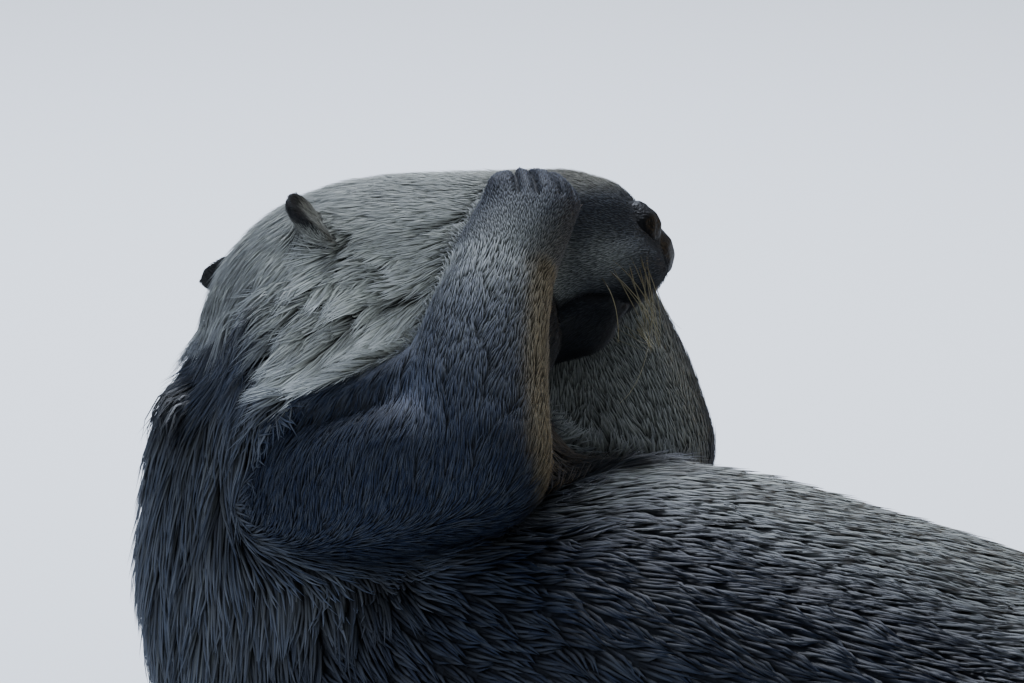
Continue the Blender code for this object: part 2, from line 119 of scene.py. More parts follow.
# %% [markdown]
# ## Small helpers
#
# Numbers for a whole mesh are read and written as arrays, which is many times faster than point by point.
# A value that changes suddenly from one part of the body to the next, such as the length of the fur, is made
# gradual by letting each point drift towards the mean of its neighbours a number of times.


# %% Mesh helpers
def new_object(name, data):
    """A new object of the scene that holds a mesh, a camera or a lamp."""
    made = bpy.data.objects.new(name, data)
    bpy.context.scene.collection.objects.link(made)
    return made


def finished(work, mesh):
    """Writes the working mesh into a mesh and frees it."""
    work.to_mesh(mesh)
    work.free()
    return mesh


def close_rings(work, rings, tip):
    """Faces from each ring to the next, and from the last ring to the tip."""
    count = len(rings[0])
    for low, high in zip(rings[:-1], rings[1:]):
        for k in range(count):
            n = (k + 1) % count
            work.faces.new((low[k], low[n], high[n], high[k]))
    for k in range(count):
        work.faces.new((rings[-1][k], rings[-1][(k + 1) % count], tip))
    bmesh.ops.recalc_face_normals(work, faces=work.faces)


def bake(obj):
    """Turns the object, with its modifiers, into a plain mesh."""
    graph = bpy.context.evaluated_depsgraph_get()
    mesh = bpy.data.meshes.new_from_object(obj.evaluated_get(graph), depsgraph=graph)
    obj.modifiers.clear()
    obj.data = mesh
    return obj


def set_inputs(obj, tree, settings):
    """Puts a Geometry Nodes tree on an object and sets its inputs by name."""
    modifier = obj.modifiers.new(tree.name, "NODES")
    modifier.node_group = tree
    for item in tree.interface.items_tree:
        if item.in_out == "INPUT" and item.name in settings:
            modifier[item.identifier] = settings[item.name]


def read(data, what, width):
    """One array from a mesh's points, edges or faces."""
    values = np.empty(len(data) * width, np.int32 if what == "vertices" else np.float32)
    data.foreach_get(what, values)
    return values.reshape(-1, width) if width > 1 else values


def write(mesh, name, values):
    """Stores one number, or one vector, at each point of a mesh."""
    kind = "FLOAT_VECTOR" if values.ndim > 1 else "FLOAT"
    field = mesh.attributes.get(name) or mesh.attributes.new(name, kind, "POINT")
    field.data.foreach_set("vector" if values.ndim > 1 else "value", values.astype(np.float32).ravel())


def spread(mesh, values, rounds):
    """Lets each point's value drift to the mean of its neighbours'."""
    ends = read(mesh.edges, "vertices", 2)
    count = len(mesh.vertices)
    links = np.bincount(ends.ravel(), minlength=count).clip(1)
    flat = values.reshape(count, -1).astype(float)
    for _ in range(rounds):
        for column in range(flat.shape[1]):
            v = flat[:, column]
            total = np.bincount(ends[:, 0], v[ends[:, 1]], count)
            total += np.bincount(ends[:, 1], v[ends[:, 0]], count)
            flat[:, column] = 0.5 * v + 0.5 * total / links
    return flat.reshape(values.shape)


def smooth_step(low, high, values):
    """0 up to low and 1 from high on, with a smooth rise between. With low above high it falls."""
    t = np.clip((values - low) / (high - low), 0, 1)
    return t * t * (3 - 2 * t)


def unit(rows):
    """Each row scaled to length 1."""
    return rows / np.linalg.norm(rows, axis=1, keepdims=True).clip(1e-9)


def ripple(points, grain):
    """Smooth noise between about -1 and 1 at each point. grain gives its size along x, y and z."""
    scaled = points / np.array(grain)
    return np.array([noise.noise(Vector(p)) for p in scaled])


def distance_to_line(points, line):
    """How far each point is from a line through the given places."""
    nearest = np.full(len(points), 1e9)
    for a, b in zip(np.array(line)[:-1], np.array(line)[1:]):
        t = np.clip(((points - a) @ (b - a)) / max((b - a) @ (b - a), 1e-12), 0, 1)
        nearest = np.minimum(nearest, np.linalg.norm(points - a - t[:, None] * (b - a), axis=1))
    return nearest


def surface_tree(mesh, points):
    """A search tree over a mesh's faces, with its points at the given places."""
    return BVHTree.FromPolygons([Vector(p) for p in points], [tuple(f.vertices) for f in mesh.polygons])


# %% [markdown]
# ## The skin
#
# Under its fur an otter has one unbroken skin, but the solids are cut where a person would name the parts.
# A voxel remesh closes those thin cuts: it turns everything into little cubes of space and draws one surface
# round them. It also evens out the triangles, which lets the surface be relaxed, drawn in by the thickness of
# the coat, and divided more finely where the face and the paws need it.

# %% One closed surface
SKIN_STEP = 1.8 * MM
RELAX_ROUNDS = 14
MEET = 0.5 * MM
FINE_PARTS = ("head", "paw_left", "paw_right", "ear_left", "ear_right")
FLESH = sorted(n for n in frame["nodes"] if not n.startswith(("eye", "nose")))


def merged_copy(nodes, swell):
    """The named solids as one mesh of whole surfaces, each a little swollen so that neighbours meet."""
    work = bmesh.new()
    for name in nodes:
        one = bmesh.new()
        one.from_mesh(frame["nodes"][name].data)
        bmesh.ops.remove_doubles(one, verts=one.verts, dist=1e-6)
        one.normal_update()
        for vertex in one.verts:
            vertex.co += vertex.normal * swell
        work.from_mesh(finished(one, bpy.data.meshes.new(name)))
    return finished(work, bpy.data.meshes.new("flesh"))


def one_surface(name, nodes, swell, step, rounds):
    """The named solids under one closed surface, remeshed in steps of this length and relaxed."""
    made = new_object(name, merged_copy(nodes, swell))
    close = made.modifiers.new("close", "REMESH")
    close.mode = "VOXEL"
    close.voxel_size = step
    relax = made.modifiers.new("relax", "SMOOTH")
    relax.factor = 0.5
    relax.iterations = rounds
    return bake(made)


def keep_largest(mesh):
    """Drops every loose piece but the largest."""
    ends = read(mesh.edges, "vertices", 2)
    label = np.arange(len(mesh.vertices))
    while True:
        lowest = np.minimum(label[ends[:, 0]], label[ends[:, 1]])
        fresh = label.copy()
        np.minimum.at(fresh, ends[:, 0], lowest)
        np.minimum.at(fresh, ends[:, 1], lowest)
        fresh = fresh[fresh]
        if np.array_equal(fresh, label):
            break
        label = fresh
    main = np.bincount(label).argmax()
    work = bmesh.new()
    work.from_mesh(mesh)
    bmesh.ops.delete(work, geom=[v for v in work.verts if label[v.index] != main], context="VERTS")
    finished(work, mesh)


skin = one_surface("skin", sorted(frame["nodes"]), MEET, SKIN_STEP, RELAX_ROUNDS)
keep_largest(skin.data)
print("skin:", len(skin.data.vertices), "points")

# %% [markdown]
# Each point of the skin is told which part of the body it belongs to, by asking which solid lies nearest.
# The trunk and the limbs need few triangles, so they are thinned. The muzzle, the right side of the head and
# the fronts of the paws need more, so their faces are divided once again.


# %% Parts of the body
def solid_tree():
    """A search tree over every solid's triangles, with the name of each triangle's solid."""
    points, faces, owner = [], [], []
    for name in FLESH:
        mesh = frame["nodes"][name].data
        first = len(points)
        points += [v.co.copy() for v in mesh.vertices]
        faces += [tuple(first + i for i in p.vertices) for p in mesh.polygons]
        owner += [name] * len(mesh.polygons)
    return BVHTree.FromPolygons(points, faces), owner


TREE, OWNER = solid_tree()


def part_of(mesh):
    """The name of the solid that lies nearest each point."""
    return np.array([OWNER[TREE.find_nearest(v.co)[2]] for v in mesh.vertices])


def thin_out(obj, rows, kept):
    """Thins the chosen points' faces, and leaves the others as they are."""
    group = obj.vertex_groups.new(name="coarse")
    group.add([int(i) for i in np.nonzero(rows)[0]], 1.0, "REPLACE")
    share = float(rows.mean())
    thin = obj.modifiers.new("thin", "DECIMATE")
    thin.vertex_group = "coarse"
    thin.ratio = 1 - share * (1 - kept)
    bake(obj)
    obj.vertex_groups.clear()


def refine(mesh, chosen):
    """Divides every face whose points are all chosen."""
    work = bmesh.new()
    work.from_mesh(mesh)
    work.verts.ensure_lookup_table()
    edges = {e for f in work.faces if all(chosen[v.index] for v in f.verts) for e in f.edges}
    bmesh.ops.subdivide_edges(work, edges=list(edges), cuts=1, use_grid_fill=True, smooth=0.0)
    finished(work, mesh)


TRUNK_KEPT = 0.12
FINEST_BEHIND_NOSE = 6.8
FINEST_RIGHT_OF_MIDDLE = 2.5

thin_out(skin, ~np.isin(part_of(skin.data), FINE_PARTS), TRUNK_KEPT)
place = in_head(read(skin.data.vertices, "co", 3))
finest = (place[:, 0] > -FINEST_BEHIND_NOSE) | (place[:, 1] < -FINEST_RIGHT_OF_MIDDLE)
refine(skin.data, finest & np.isin(part_of(skin.data), ("head", "paw_left", "paw_right")))
part = part_of(skin.data)
print("skin, thinned and refined:", len(skin.data.vertices), "points,", len(skin.data.polygons), "faces")

# %% [markdown]
# ## How the coat changes over the body
#
# A sea otter's guard hairs are about 3 mm long on the muzzle and the paws and 25 to 30 mm on the neck and
# trunk. Wet, they lie down and clump into pointed locks. On the trunk each lock covers the lower half of the
# next, so a tuft is only as long as what shows. The table gives, for each part, how thick the lying coat is,
# how long and how wide its tufts are, and how pale they are. The head is buff grey and the body dark brown.
# All of these are then spread over the borders, so that nothing changes at a line.

# %% Coat table
# Part: (depth, length and width of the tufts in millimetres, share of pale hairs, share of brown hairs,
# how strongly wet tufts are drawn together).
COAT = {
    "head": (3.0, 12.0, 0.55, 0.95, 0.05, 0.3),
    "ear": (0.6, 4.0, 0.4, 0.6, 0.3, 0.1),
    "neck": (6.5, 28.0, 1.4, 0.12, 0.0, 0.95),
    "chest": (3.2, 16.0, 1.5, 0.04, 0.0, 0.8),
    "belly": (3.2, 16.0, 1.5, 0.04, 0.0, 0.8),
    "hips": (4.0, 18.0, 1.5, 0.05, 0.05, 0.8),
    "tail": (4.0, 16.0, 1.4, 0.05, 0.2, 0.7),
    "upper_arm": (1.6, 9.0, 0.62, 0.03, 0.0, 0.45),
    "forearm": (1.1, 6.0, 0.5, 0.08, 0.0, 0.25),
    "paw": (0.7, 2.4, 0.34, 0.0, 0.05, 0.1),
    "leg": (4.5, 16.0, 1.4, 0.08, 0.2, 0.7),
    "hind_foot": (0.9, 5.0, 0.7, 0.12, 0.3, 0.2),
}


def plain(name):
    """A part's name without its side."""
    return name.removesuffix("_left").removesuffix("_right")


row_of = {name: np.array(COAT[plain(name)]) for name in FLESH}
coat = np.array([row_of[name] for name in part])
where = np.array([v.co for v in skin.data.vertices])
head = in_head(where)
on_face = part == "head"

# Regions of the head, each 0 to 1. The numbers say from where to where a region sets in, in centimetres
# behind the nose and above it.
behind, above = -head[:, 0], head[:, 2]
grown = smooth_step(2.6, 10.5, behind)
back = smooth_step(11.5, 16.0, behind)
cheek = smooth_step(8.5, 11.0, behind) * smooth_step(1.4, 0.4, above)
muzzle = smooth_step(5.6, 3.4, behind)
chin = smooth_step(-1.0, -1.6, above) * smooth_step(7.5, 5.0, behind)
bridge = smooth_step(1.9, 2.6, above) * smooth_step(7.0, 4.0, behind)
pad = np.exp(-(((behind - 2.9) / 1.0) ** 2) - ((above + 0.2) / 0.75) ** 2)
# Painted shade: the nape low behind the head is painted darker.
nape = smooth_step(13.8, 15.2, behind) * smooth_step(1.2, -0.4, above)

# The fur grows longer from the nose backwards. The sides of the muzzle are dark and wet, the chin is painted
# dark as shade under the muzzle, the whisker pad is grey, and a crest of longer fuzz runs along the bridge,
# painted light olive as a backlit rim. The back of the head darkens to the neck, and the nape low behind the
# head is painted darker still as shade. Below the ears and behind the cheeks the fur is wettest, and parts
# into pointed locks.
pale_face = 0.95 - 0.87 * np.maximum(muzzle, chin) + 0.4 * pad + 0.45 * bridge - 0.45 * back
face_coat = [
    0.9 + 1.5 * grown + 2.6 * cheek + 1.5 * back,
    2.6 + 8.0 * grown + 5.0 * cheek + 7.0 * back + 2.2 * bridge,
    0.32 + 0.16 * grown + 0.12 * cheek + 0.3 * back,
    (pale_face * (1 - 0.9 * nape)).clip(0, 1),
    0.05 + 0.5 * bridge,
    0.12 + 0.85 * cheek,
]
coat[on_face] = np.stack(face_coat, axis=1)[on_face]

BORDER_ROUNDS = 12
coat = spread(skin.data, coat, BORDER_ROUNDS)
depth, length, width = (coat[:, k] * MM for k in range(3))
pale, brown, wet = coat[:, 3], coat[:, 4], coat[:, 5]

# Under the back the coat is pressed flat between the skin and the floor.
PRESSED_DEPTH = 0.5 * MM
PRESSED_FROM, PRESSED_BELOW = 9 * MM, 2 * MM
normal = read(skin.data.vertex_normals, "vector", 3)
pressed = smooth_step(PRESSED_FROM, PRESSED_BELOW, where[:, 2]) * smooth_step(-0.2, -0.8, normal[:, 2])
pressed = spread(skin.data, pressed, 2)
depth = depth + (PRESSED_DEPTH - depth) * pressed
print("coat depth from", round(depth.min() / MM, 1), "to", round(depth.max() / MM, 1), "mm")

# %% [markdown]
# ## Drawing the skin in and modelling the face
#
# The skin is moved inwards by the coat's depth. Folds are grooves: every point within a few millimetres of a
# line sinks, most on the line itself. The lids are made by pressing the skin on to the eyeball. A point over
# the almond-shaped opening goes behind the ball's surface, and one round it stays just in front. A toe's tip
# is found on the solids: seen from the joint behind the foot, the foot is divided into five equal angles, and
# the farthest point in each is a tip.

# %% Toes
TOES = 5
FRONT_OF_FOOT = 0.75
BEFORE = {"paw": "forearm", "hind_foot": "leg"}


def toe_tips(kind, side):
    """(tip, the way it points, the way its back faces) for each toe of one foot."""
    mesh = frame["nodes"][f"{kind}_{side}"].data
    points = np.array([v.co for v in mesh.vertices])
    joint = np.array(centre(f"{BEFORE[kind]}_{side}"))
    rays = points - joint
    ahead = unit(rays.mean(axis=0)[None])[0]
    flat = np.linalg.svd(points - points.mean(axis=0))[2][2]
    flat = unit((flat - ahead * (flat @ ahead))[None])[0]
    if flat @ (np.array(centre("head" if kind == "paw" else "tail")) - points.mean(axis=0)) > 0:
        flat = -flat
    angle = np.arctan2(rays @ np.cross(flat, ahead), rays @ ahead)
    reach = np.linalg.norm(rays, axis=1)
    low, high = np.percentile(angle[reach > FRONT_OF_FOOT * reach.max()], (1, 99))
    edges = np.linspace(low, high + 1e-6, TOES + 1)
    tips = []
    for a, b in zip(edges[:-1], edges[1:]):
        rows = np.nonzero((angle >= a) & (angle < b))[0]
        if len(rows):
            best = rows[reach[rows].argmax()]
            tips.append((points[best], unit(rays[best][None])[0], flat))
    return tips


# Between its toes the web of a hind foot is a shallow valley on both faces, from half way down the foot.
WEB_DEEP, WEB_HALF = 1.6, 4.0
WEB_FROM, WEB_TO = 0.45, 0.95


def web_valleys():
    """(line, depth, half width) of each valley of the two webs, in the room."""
    valleys = []
    for side in ("right", "left"):
        root = np.array(centre(f"leg_{side}"))
        tips = [tip for tip, _, _ in toe_tips("hind_foot", side)]
        for a, b in zip(tips[:-1], tips[1:]):
            ray = (a + b) / 2 - root
            valleys.append((np.array([root + ray * WEB_FROM, root + ray * WEB_TO]), WEB_DEEP, WEB_HALF))
    return valleys


# %% Skin under the coat
NOSE = merged_copy(["nose"], 0)
NOSE_TREE = surface_tree(NOSE, read(NOSE.vertices, "co", 3))
EDGE_OF_NOSE = 1.4 * MM
FAR_FROM_NOSE = 30 * MM
from_nose = np.array([NOSE_TREE.find_nearest(Vector(p), FAR_FROM_NOSE)[3] or FAR_FROM_NOSE for p in where])
under_nose = smooth_step(EDGE_OF_NOSE, 0.6 * EDGE_OF_NOSE, from_nose)

EYE_RADIUS = 7.2 * MM
LID_THICKNESS = 0.9 * MM
SUNK_BEHIND_LIDS = 2.2 * MM
# Half the length and height of the opening between the lids, as shares of the ball's radius.
OPENING_LONG, OPENING_HIGH = 0.72, 0.56
EYE_PLACES = {side: centre(f"eye_{side}") for side in ("right", "left")}

# Soaked fur sets in low ripples along the body, which take up part of the coat's depth.
RIPPLE_HIGH = 0.22
RIPPLE_GRAIN = {"neck": (14 * MM, 14 * MM, 40 * MM), "body": (34 * MM, 11 * MM, 11 * MM)}
ripples = np.where(part == "neck", ripple(where, RIPPLE_GRAIN["neck"]), ripple(where, RIPPLE_GRAIN["body"]))
ripples = ripples * smooth_step(0.4, 0.8, wet) * (1 - pressed)

# The same ripples get a painted highlight on their tops, and the whole coat is a little mottled.
MOTTLE_GRAIN = (18 * MM, 18 * MM, 18 * MM)
RIPPLE_HIGHLIGHT, MOTTLE_LIGHTER = 0.55, 0.16
tone = 1 + RIPPLE_HIGHLIGHT * ripples + MOTTLE_LIGHTER * ripple(where, MOTTLE_GRAIN)

normal = read(skin.data.vertex_normals, "vector", 3)
where = where - normal * (depth * (1 - RIPPLE_HIGH * ripples))[:, None]
skin.data.vertices.foreach_set("co", where.astype(np.float32).ravel())
skin.data.update()

# %% Folds
# Each fold is a line in the head's directions, in centimetres, then its depth and half width in millimetres.
MOUTH = [(-1.5, 0.0, -1.45), (-2.0, -1.2, -1.5), (-2.9, -2.2, -1.55), (-4.0, -2.9, -1.75), (-5.2, -3.4, -2.3)]
LIP_GROOVE = [(-0.6, 0.0, -0.8), (-1.2, 0.0, -1.5)]
JOWL = [(-9.0, -5.6, -4.6), (-12.0, -6.2, -5.3), (-15.0, -5.2, -4.6)]
BOTH_SIDES = [(MOUTH, 4.5, 2.0), (LIP_GROOVE, 1.4, 0.8), (JOWL, 3.0, 3.5)]

CHEEK_PARTINGS = [
    ([(-14.5, -5.5, -1.2), (-13.9, -5.7, -0.6), (-13.3, -5.9, -0.4), (-12.5, -6.0, -0.6)], 3.2, 1.7),
    ([(-12.5, -6.0, -0.6), (-11.3, -5.9, -1.5)], 3.2, 1.7),
    ([(-12.2, -5.8, 0.4), (-11.9, -5.7, 0.8), (-11.3, -5.6, 0.9), (-10.3, -5.6, 0.2)], 2.4, 1.3),
    ([(-12.3, -5.9, -0.1), (-11.5, -5.8, 0.2), (-10.8, -5.7, 0.3)], 1.8, 1.1),
    ([(-13.7, -5.4, 0.6), (-13.2, -5.8, 0.1), (-12.5, -6.0, -0.4)], 3.0, 1.7),
    ([(-15.1, -4.7, -0.2), (-14.7, -5.0, 0.1), (-14.0, -5.5, 0.0), (-13.5, -5.8, -0.1)], 2.4, 1.3),
    ([(-14.9, -4.7, 0.2), (-14.4, -5.0, 0.5), (-13.8, -5.5, 0.3)], 2.0, 1.2),
    ([(-15.7, -4.3, -1.0), (-15.6, -4.1, 0.0), (-15.2, -4.0, 0.6), (-14.5, -4.2, 1.3)], 2.4, 1.4),
    ([(-11.0, -5.9, -1.2), (-10.3, -5.8, -0.8), (-9.5, -5.6, -0.5)], 2.4, 1.4),
    ([(-9.1, -4.9, 1.3), (-8.3, -4.5, 1.5), (-7.5, -4.1, 1.7)], 1.4, 1.0),
    ([(-12.0, -5.5, 1.0), (-11.4, -5.2, 1.6)], 1.8, 1.3),
    ([(-15.6, -4.6, -1.8), (-15.0, -5.2, -1.7), (-14.5, -5.6, -1.7)], 2.6, 1.8),
    ([(-13.5, -5.9, -1.5), (-13.3, -6.0, -1.1), (-12.9, -6.1, -1.1)], 2.0, 1.2),
    ([(-12.5, -6.1, -1.5), (-12.2, -6.1, -1.3), (-11.6, -5.9, -1.5)], 2.0, 1.2),
]
ARMPIT = [(-15.4, -4.4, -3.9), (-14.4, -5.9, -4.3), (-13.4, -6.8, -4.5)]
RIGHT_TOE_GAPS = [
    ([(-5.6, -2.8, 3.9), (-5.75, -4.4, 2.9), (-6.0, -5.6, 1.9)], 2.8, 0.9),
    ([(-5.05, -2.8, 4.0), (-5.2, -4.4, 2.9), (-5.4, -5.6, 1.7)], 3.2, 1.0),
    ([(-4.5, -2.8, 3.9), (-4.6, -4.4, 2.8), (-4.75, -5.6, 1.7)], 3.2, 1.0),
    ([(-3.95, -2.8, 3.6), (-4.05, -4.4, 2.6), (-4.15, -5.4, 1.6)], 2.8, 0.9),
]
RIGHT_WRIST_CREASES = [
    ([(-6.6, -7.2, 0.1), (-6.1, -7.2, -0.3), (-5.75, -6.95, -0.6)], 0.9, 0.6),
    ([(-6.9, -7.3, -0.2), (-6.4, -7.3, -0.6), (-6.0, -7.1, -0.9)], 0.8, 0.6),
]
LEFT_TOE_GAPS = [
    ([(-5.6, 4.9, 2.2), (-6.0, 5.9, 1.6), (-6.2, 6.6, 0.7)], 1.6, 1.3),
    ([(-4.9, 5.1, 2.0), (-5.2, 6.1, 1.4), (-5.5, 6.8, 0.5)], 1.6, 1.3),
]
ONE_SIDE = CHEEK_PARTINGS + [(ARMPIT, 3.0, 2.5)] + RIGHT_TOE_GAPS + RIGHT_WRIST_CREASES + LEFT_TOE_GAPS

# A narrow fold is painted fully dark as shade if it is deep enough, and a wide one or a web only somewhat.
WIDEST_PARTING = 2.1
FULL_SHADE_DEPTH = 2.4
WIDE_FOLD_SHADE, WEB_SHADE = 0.4, 0.35


def mirrored(line):
    """A line on the other side of the head."""
    return [(x, -y, z) for x, y, z in line]


def on_skin(line, tree, steps=8):
    """A line given in the head's directions, laid on the skin and returned in the room."""
    laid = []
    for a, b in zip(line[:-1], line[1:]):
        for t in np.linspace(0, 1, steps):
            laid.append(tree.find_nearest(on_head(*(np.array(a) * (1 - t) + np.array(b) * t)))[0])
    return np.array(laid)


def sink_folds(points, out):
    """The points with every fold sunk, and how much painted shade each point gets for lying in one."""
    tree = surface_tree(skin.data, points)
    other_side = [(mirrored(line), deep, half) for line, deep, half in BOTH_SIDES]
    folds = [(line, deep, half, WEB_SHADE) for line, deep, half in web_valleys()]
    for line, deep, half in BOTH_SIDES + other_side + ONE_SIDE:
        darkness = min(1, deep / FULL_SHADE_DEPTH) if half < WIDEST_PARTING else WIDE_FOLD_SHADE
        folds.append((on_skin(line, tree), deep, half, darkness))
    drop, inside = np.zeros(len(points)), np.zeros(len(points))
    for line, deep, half, darkness in folds:
        off = distance_to_line(points, line) / (half * MM)
        drop = np.maximum(drop, deep * MM * np.exp(-(off**2)))
        inside = np.maximum(inside, darkness * np.exp(-(off**2)))
    return points - out * drop[:, None], inside


def gaze(side):
    """The way an eye looks: ahead, outwards and a little up."""
    outward = LEFT if side == "left" else -LEFT
    return (AHEAD * 0.52 + outward * 0.78 + CROWN * 0.36).normalized()


def press_lids(points, side):
    """Presses the skin round one eye on to the ball, with an almond-shaped opening in front."""
    middle = np.array(EYE_PLACES[side])
    out = np.array(gaze(side))
    corner = np.array(AHEAD) - out * (np.array(AHEAD) @ out)
    corner /= np.linalg.norm(corner)
    lid = np.cross(out, corner)
    spot = points - middle
    far = np.linalg.norm(spot, axis=1)
    facing = spot / far[:, None]
    # Where each point lies on the opening, 1 at its edge. The lids fade into the face at 1.5.
    opening = np.hypot(facing @ corner / OPENING_LONG, facing @ lid / OPENING_HIGH)
    near = (far < 2.0 * EYE_RADIUS) & (facing @ out > 0.1)
    inside = smooth_step(1.06, 0.9, opening)
    target = EYE_RADIUS + LID_THICKNESS - (LID_THICKNESS + SUNK_BEHIND_LIDS) * inside
    fade = smooth_step(1.5, 1.15, opening)
    moved = middle + facing * (far + (target - far) * fade)[:, None]
    bare = np.where(near, smooth_step(1.45, 1.1, opening), 0)
    return np.where(near[:, None], moved, points), bare


skin.data.update()
normal = read(skin.data.vertex_normals, "vector", 3)
where, shade_in_folds = sink_folds(where, normal)
bare = np.zeros(len(where))
for side in EYE_PLACES:
    where, rim = press_lids(where, side)
    bare = np.maximum(bare, rim)
bare = np.maximum(bare, under_nose)
for line in (MOUTH, mirrored(MOUTH)):
    bare = np.maximum(bare, smooth_step(0.3, 0.12, distance_to_line(head, line)))
skin.data.vertices.foreach_set("co", where.astype(np.float32).ravel())
skin.data.update()

# %% [markdown]
# ## Combing: which way the fur lies
#
# Fur grows away from the nose over the head, down the neck, from the chest to the tail, and along each limb
# to its toes. One rough direction for each part is enough. It is laid on the skin, spread so that it turns
# smoothly from one part to the next, and laid on the skin again.

# %% Lie of the coat
PAWS = {side: np.array(centre(f"paw_{side}")) for side in ("right", "left")}
FEET = {side: np.array(centre(f"hind_foot_{side}")) for side in ("right", "left")}
MIDDLE_Y = centre("belly").y
AHEAD_OF_NOSE = np.array(on_head(1.5, 0, -0.8))
MIDDLE_OF_HEAD = np.array(on_head(-11.0, 0, -2.0))
TOWARDS_EYES = np.array(on_head(-4.2, 0, 4.0))
NECK_LIE = (0.22, -0.1, -1.0)
FOOT_LIE = {"right": (0.8, -0.55, 0.45), "left": (0.8, 0.45, 0.45)}
# How strongly the fur of the head hangs down, on the face and at the nape, and from where to where that
# changes, in centimetres behind the nose.
FACE_HANGS, NAPE_HANGS = 0.15, 0.7
HANGS_FROM, HANGS_TO = 9.0, 16.0


def lie_of(name, points):
    """A rough direction of growth at each point of one part of the body."""
    side = "left" if name.endswith("left") else "right"
    kind = plain(name)
    down = np.array([0, 0, -1.0])
    if kind == "head":
        late = smooth_step(HANGS_FROM, HANGS_TO, -in_head(points)[:, 0])
        return unit(points - AHEAD_OF_NOSE) + down * (FACE_HANGS + NAPE_HANGS * late)[:, None]
    if kind == "ear":
        return unit(points - MIDDLE_OF_HEAD)
    if kind == "neck":
        return np.tile(NECK_LIE, (len(points), 1))
    if kind in ("upper_arm", "forearm"):
        return unit(PAWS[side] - points)
    if kind == "paw":
        return np.tile(TOWARDS_EYES - PAWS[side], (len(points), 1))
    if kind == "leg":
        return unit(FEET[side] - points)
    if kind == "hind_foot":
        return np.tile(FOOT_LIE[side], (len(points), 1))
    aside = points[:, 1] - MIDDLE_Y
    return np.stack([np.ones(len(points)), 1.8 * aside, -3.3 * np.abs(aside) - 0.1], axis=1)


def lay_down(directions, out):
    """The directions with whatever points out of the skin taken away."""
    return unit(directions - out * np.sum(directions * out, axis=1)[:, None])


normal = read(skin.data.vertex_normals, "vector", 3)
lie = np.zeros_like(where)
for name in FLESH:
    rows = part == name
    lie[rows] = lie_of(name, where[rows])
SWIRL = 0.3
SWIRL_GRAIN = (22 * MM, 22 * MM, 22 * MM)
TURNING_ROUNDS = 26
swirls = np.stack([ripple(where + 0.2 * k, SWIRL_GRAIN) for k in range(3)], axis=1)
lie = spread(skin.data, lay_down(lie, normal), TURNING_ROUNDS)
lie = lay_down(lie + SWIRL * swirls * (0.3 + 0.7 * wet)[:, None], normal)

# %% [markdown]
# A tuft leaves the skin at a slant and bends over to lie on the body. Its tip should come down on the coat's
# surface wherever that is, so the place straight ahead is looked up on the skin, and the difference is kept
# as a bend that grows with the square of the distance along the tuft.

# %% Start and bend of the tufts
TIP_HEIGHT = 0.8
SLANT_FOR_DEPTH = 1.15
MOST_SLANT = 0.8
MOST_BEND = 0.6
SKIN_TREE = surface_tree(skin.data, where)
slant = np.minimum(MOST_SLANT, SLANT_FOR_DEPTH * depth / length)[:, None]
start = length[:, None] * (lie * np.sqrt(1 - slant**2) + normal * slant)
bend = np.zeros_like(where)
for i, ahead in enumerate(where + lie * length[:, None]):
    spot, out, _, _ = SKIN_TREE.find_nearest(Vector(ahead))
    bend[i] = spot + out * (TIP_HEIGHT * depth[i])
bend -= where + start
size = np.linalg.norm(bend, axis=1)
bend *= np.minimum(1, MOST_BEND * length / size.clip(1e-9))[:, None]

# Bare skin carries no tufts, nor does a deep fold or the part of the back that lies flat on the floor.
cover = (1 - bare) * (1 - smooth_step(0.5, 0.9, pressed)) * (1 - smooth_step(0.25, 0.8, shade_in_folds))

# %% [markdown]
# ## Markings, painted light and painted shade
#
# Three more numbers on the skin give its markings and its painted light and shade: how pale, how brown and
# how light the coat is there. The trunk is painted darker on its sides as shade and paler along the top, a
# little to the left, as a painted sheen of sky. The far arm is painted paler where it faces the front lights.
# The cheek is bright. The folds, the chin under the mouth and the neck behind the head are painted darker as
# shade.

# %% Markings, painted light and painted shade
# Painted shade on the trunk's sides, painted sheen along the trunk's top and on the far arm, painted shade on
# the upward-facing neck, in the folds and under the chin, and how much lighter the cheek is.
SIDE_SHADE, TOP_SHEEN, FAR_ARM_LIGHT = 0.42, 0.42, 0.5
LEDGE_SHADE, CHEEK_LIGHTER, FOLD_SHADE, CHIN_SHADE = 0.7, 0.42, 0.85, 0.6
SHEEN_FACING = np.array((0.0, 0.26, 0.966))
FRONT_LIT_FACING = np.array((0.3, -0.92, 0.24))

trunk = np.isin(part, ("chest", "belly", "hips"))
# Painted sheen of sky along the top of the trunk, a little to the left.
sheen_on_top = spread(skin.data, trunk * smooth_step(0.84, 1.0, normal @ SHEEN_FACING), 8)
# Painted light on the far arm where it faces the front lights.
far_arm_lit = np.isin(part, ("upper_arm_left", "forearm_left")) * smooth_step(0.1, 0.6, normal @ FRONT_LIT_FACING)
# Painted shade on the upward-facing neck behind the head.
shaded_ledge = np.where(part == "neck", smooth_step(0.1, 0.6, normal[:, 2]), 0)
bright_cheek = np.where(on_face, cheek * (1 - nape), 0)
pale = pale + TOP_SHEEN * sheen_on_top + FAR_ARM_LIGHT * spread(skin.data, far_arm_lit, 6)
# The trunk's sides are painted darker as shade, away from the sheen on the top.
tone = tone * (1 - SIDE_SHADE * spread(skin.data, trunk.astype(float), 8) * (1 - sheen_on_top))
tone = tone * (1 - LEDGE_SHADE * spread(skin.data, shaded_ledge, 4)) * (1 + CHEEK_LIGHTER * bright_cheek)
# Painted shade under the chin and in the folds.
shade_under_chin = spread(skin.data, np.where(on_face, chin, 0), 3)
tone = tone * (1 - FOLD_SHADE * shade_in_folds) * (1 - CHIN_SHADE * shade_under_chin)

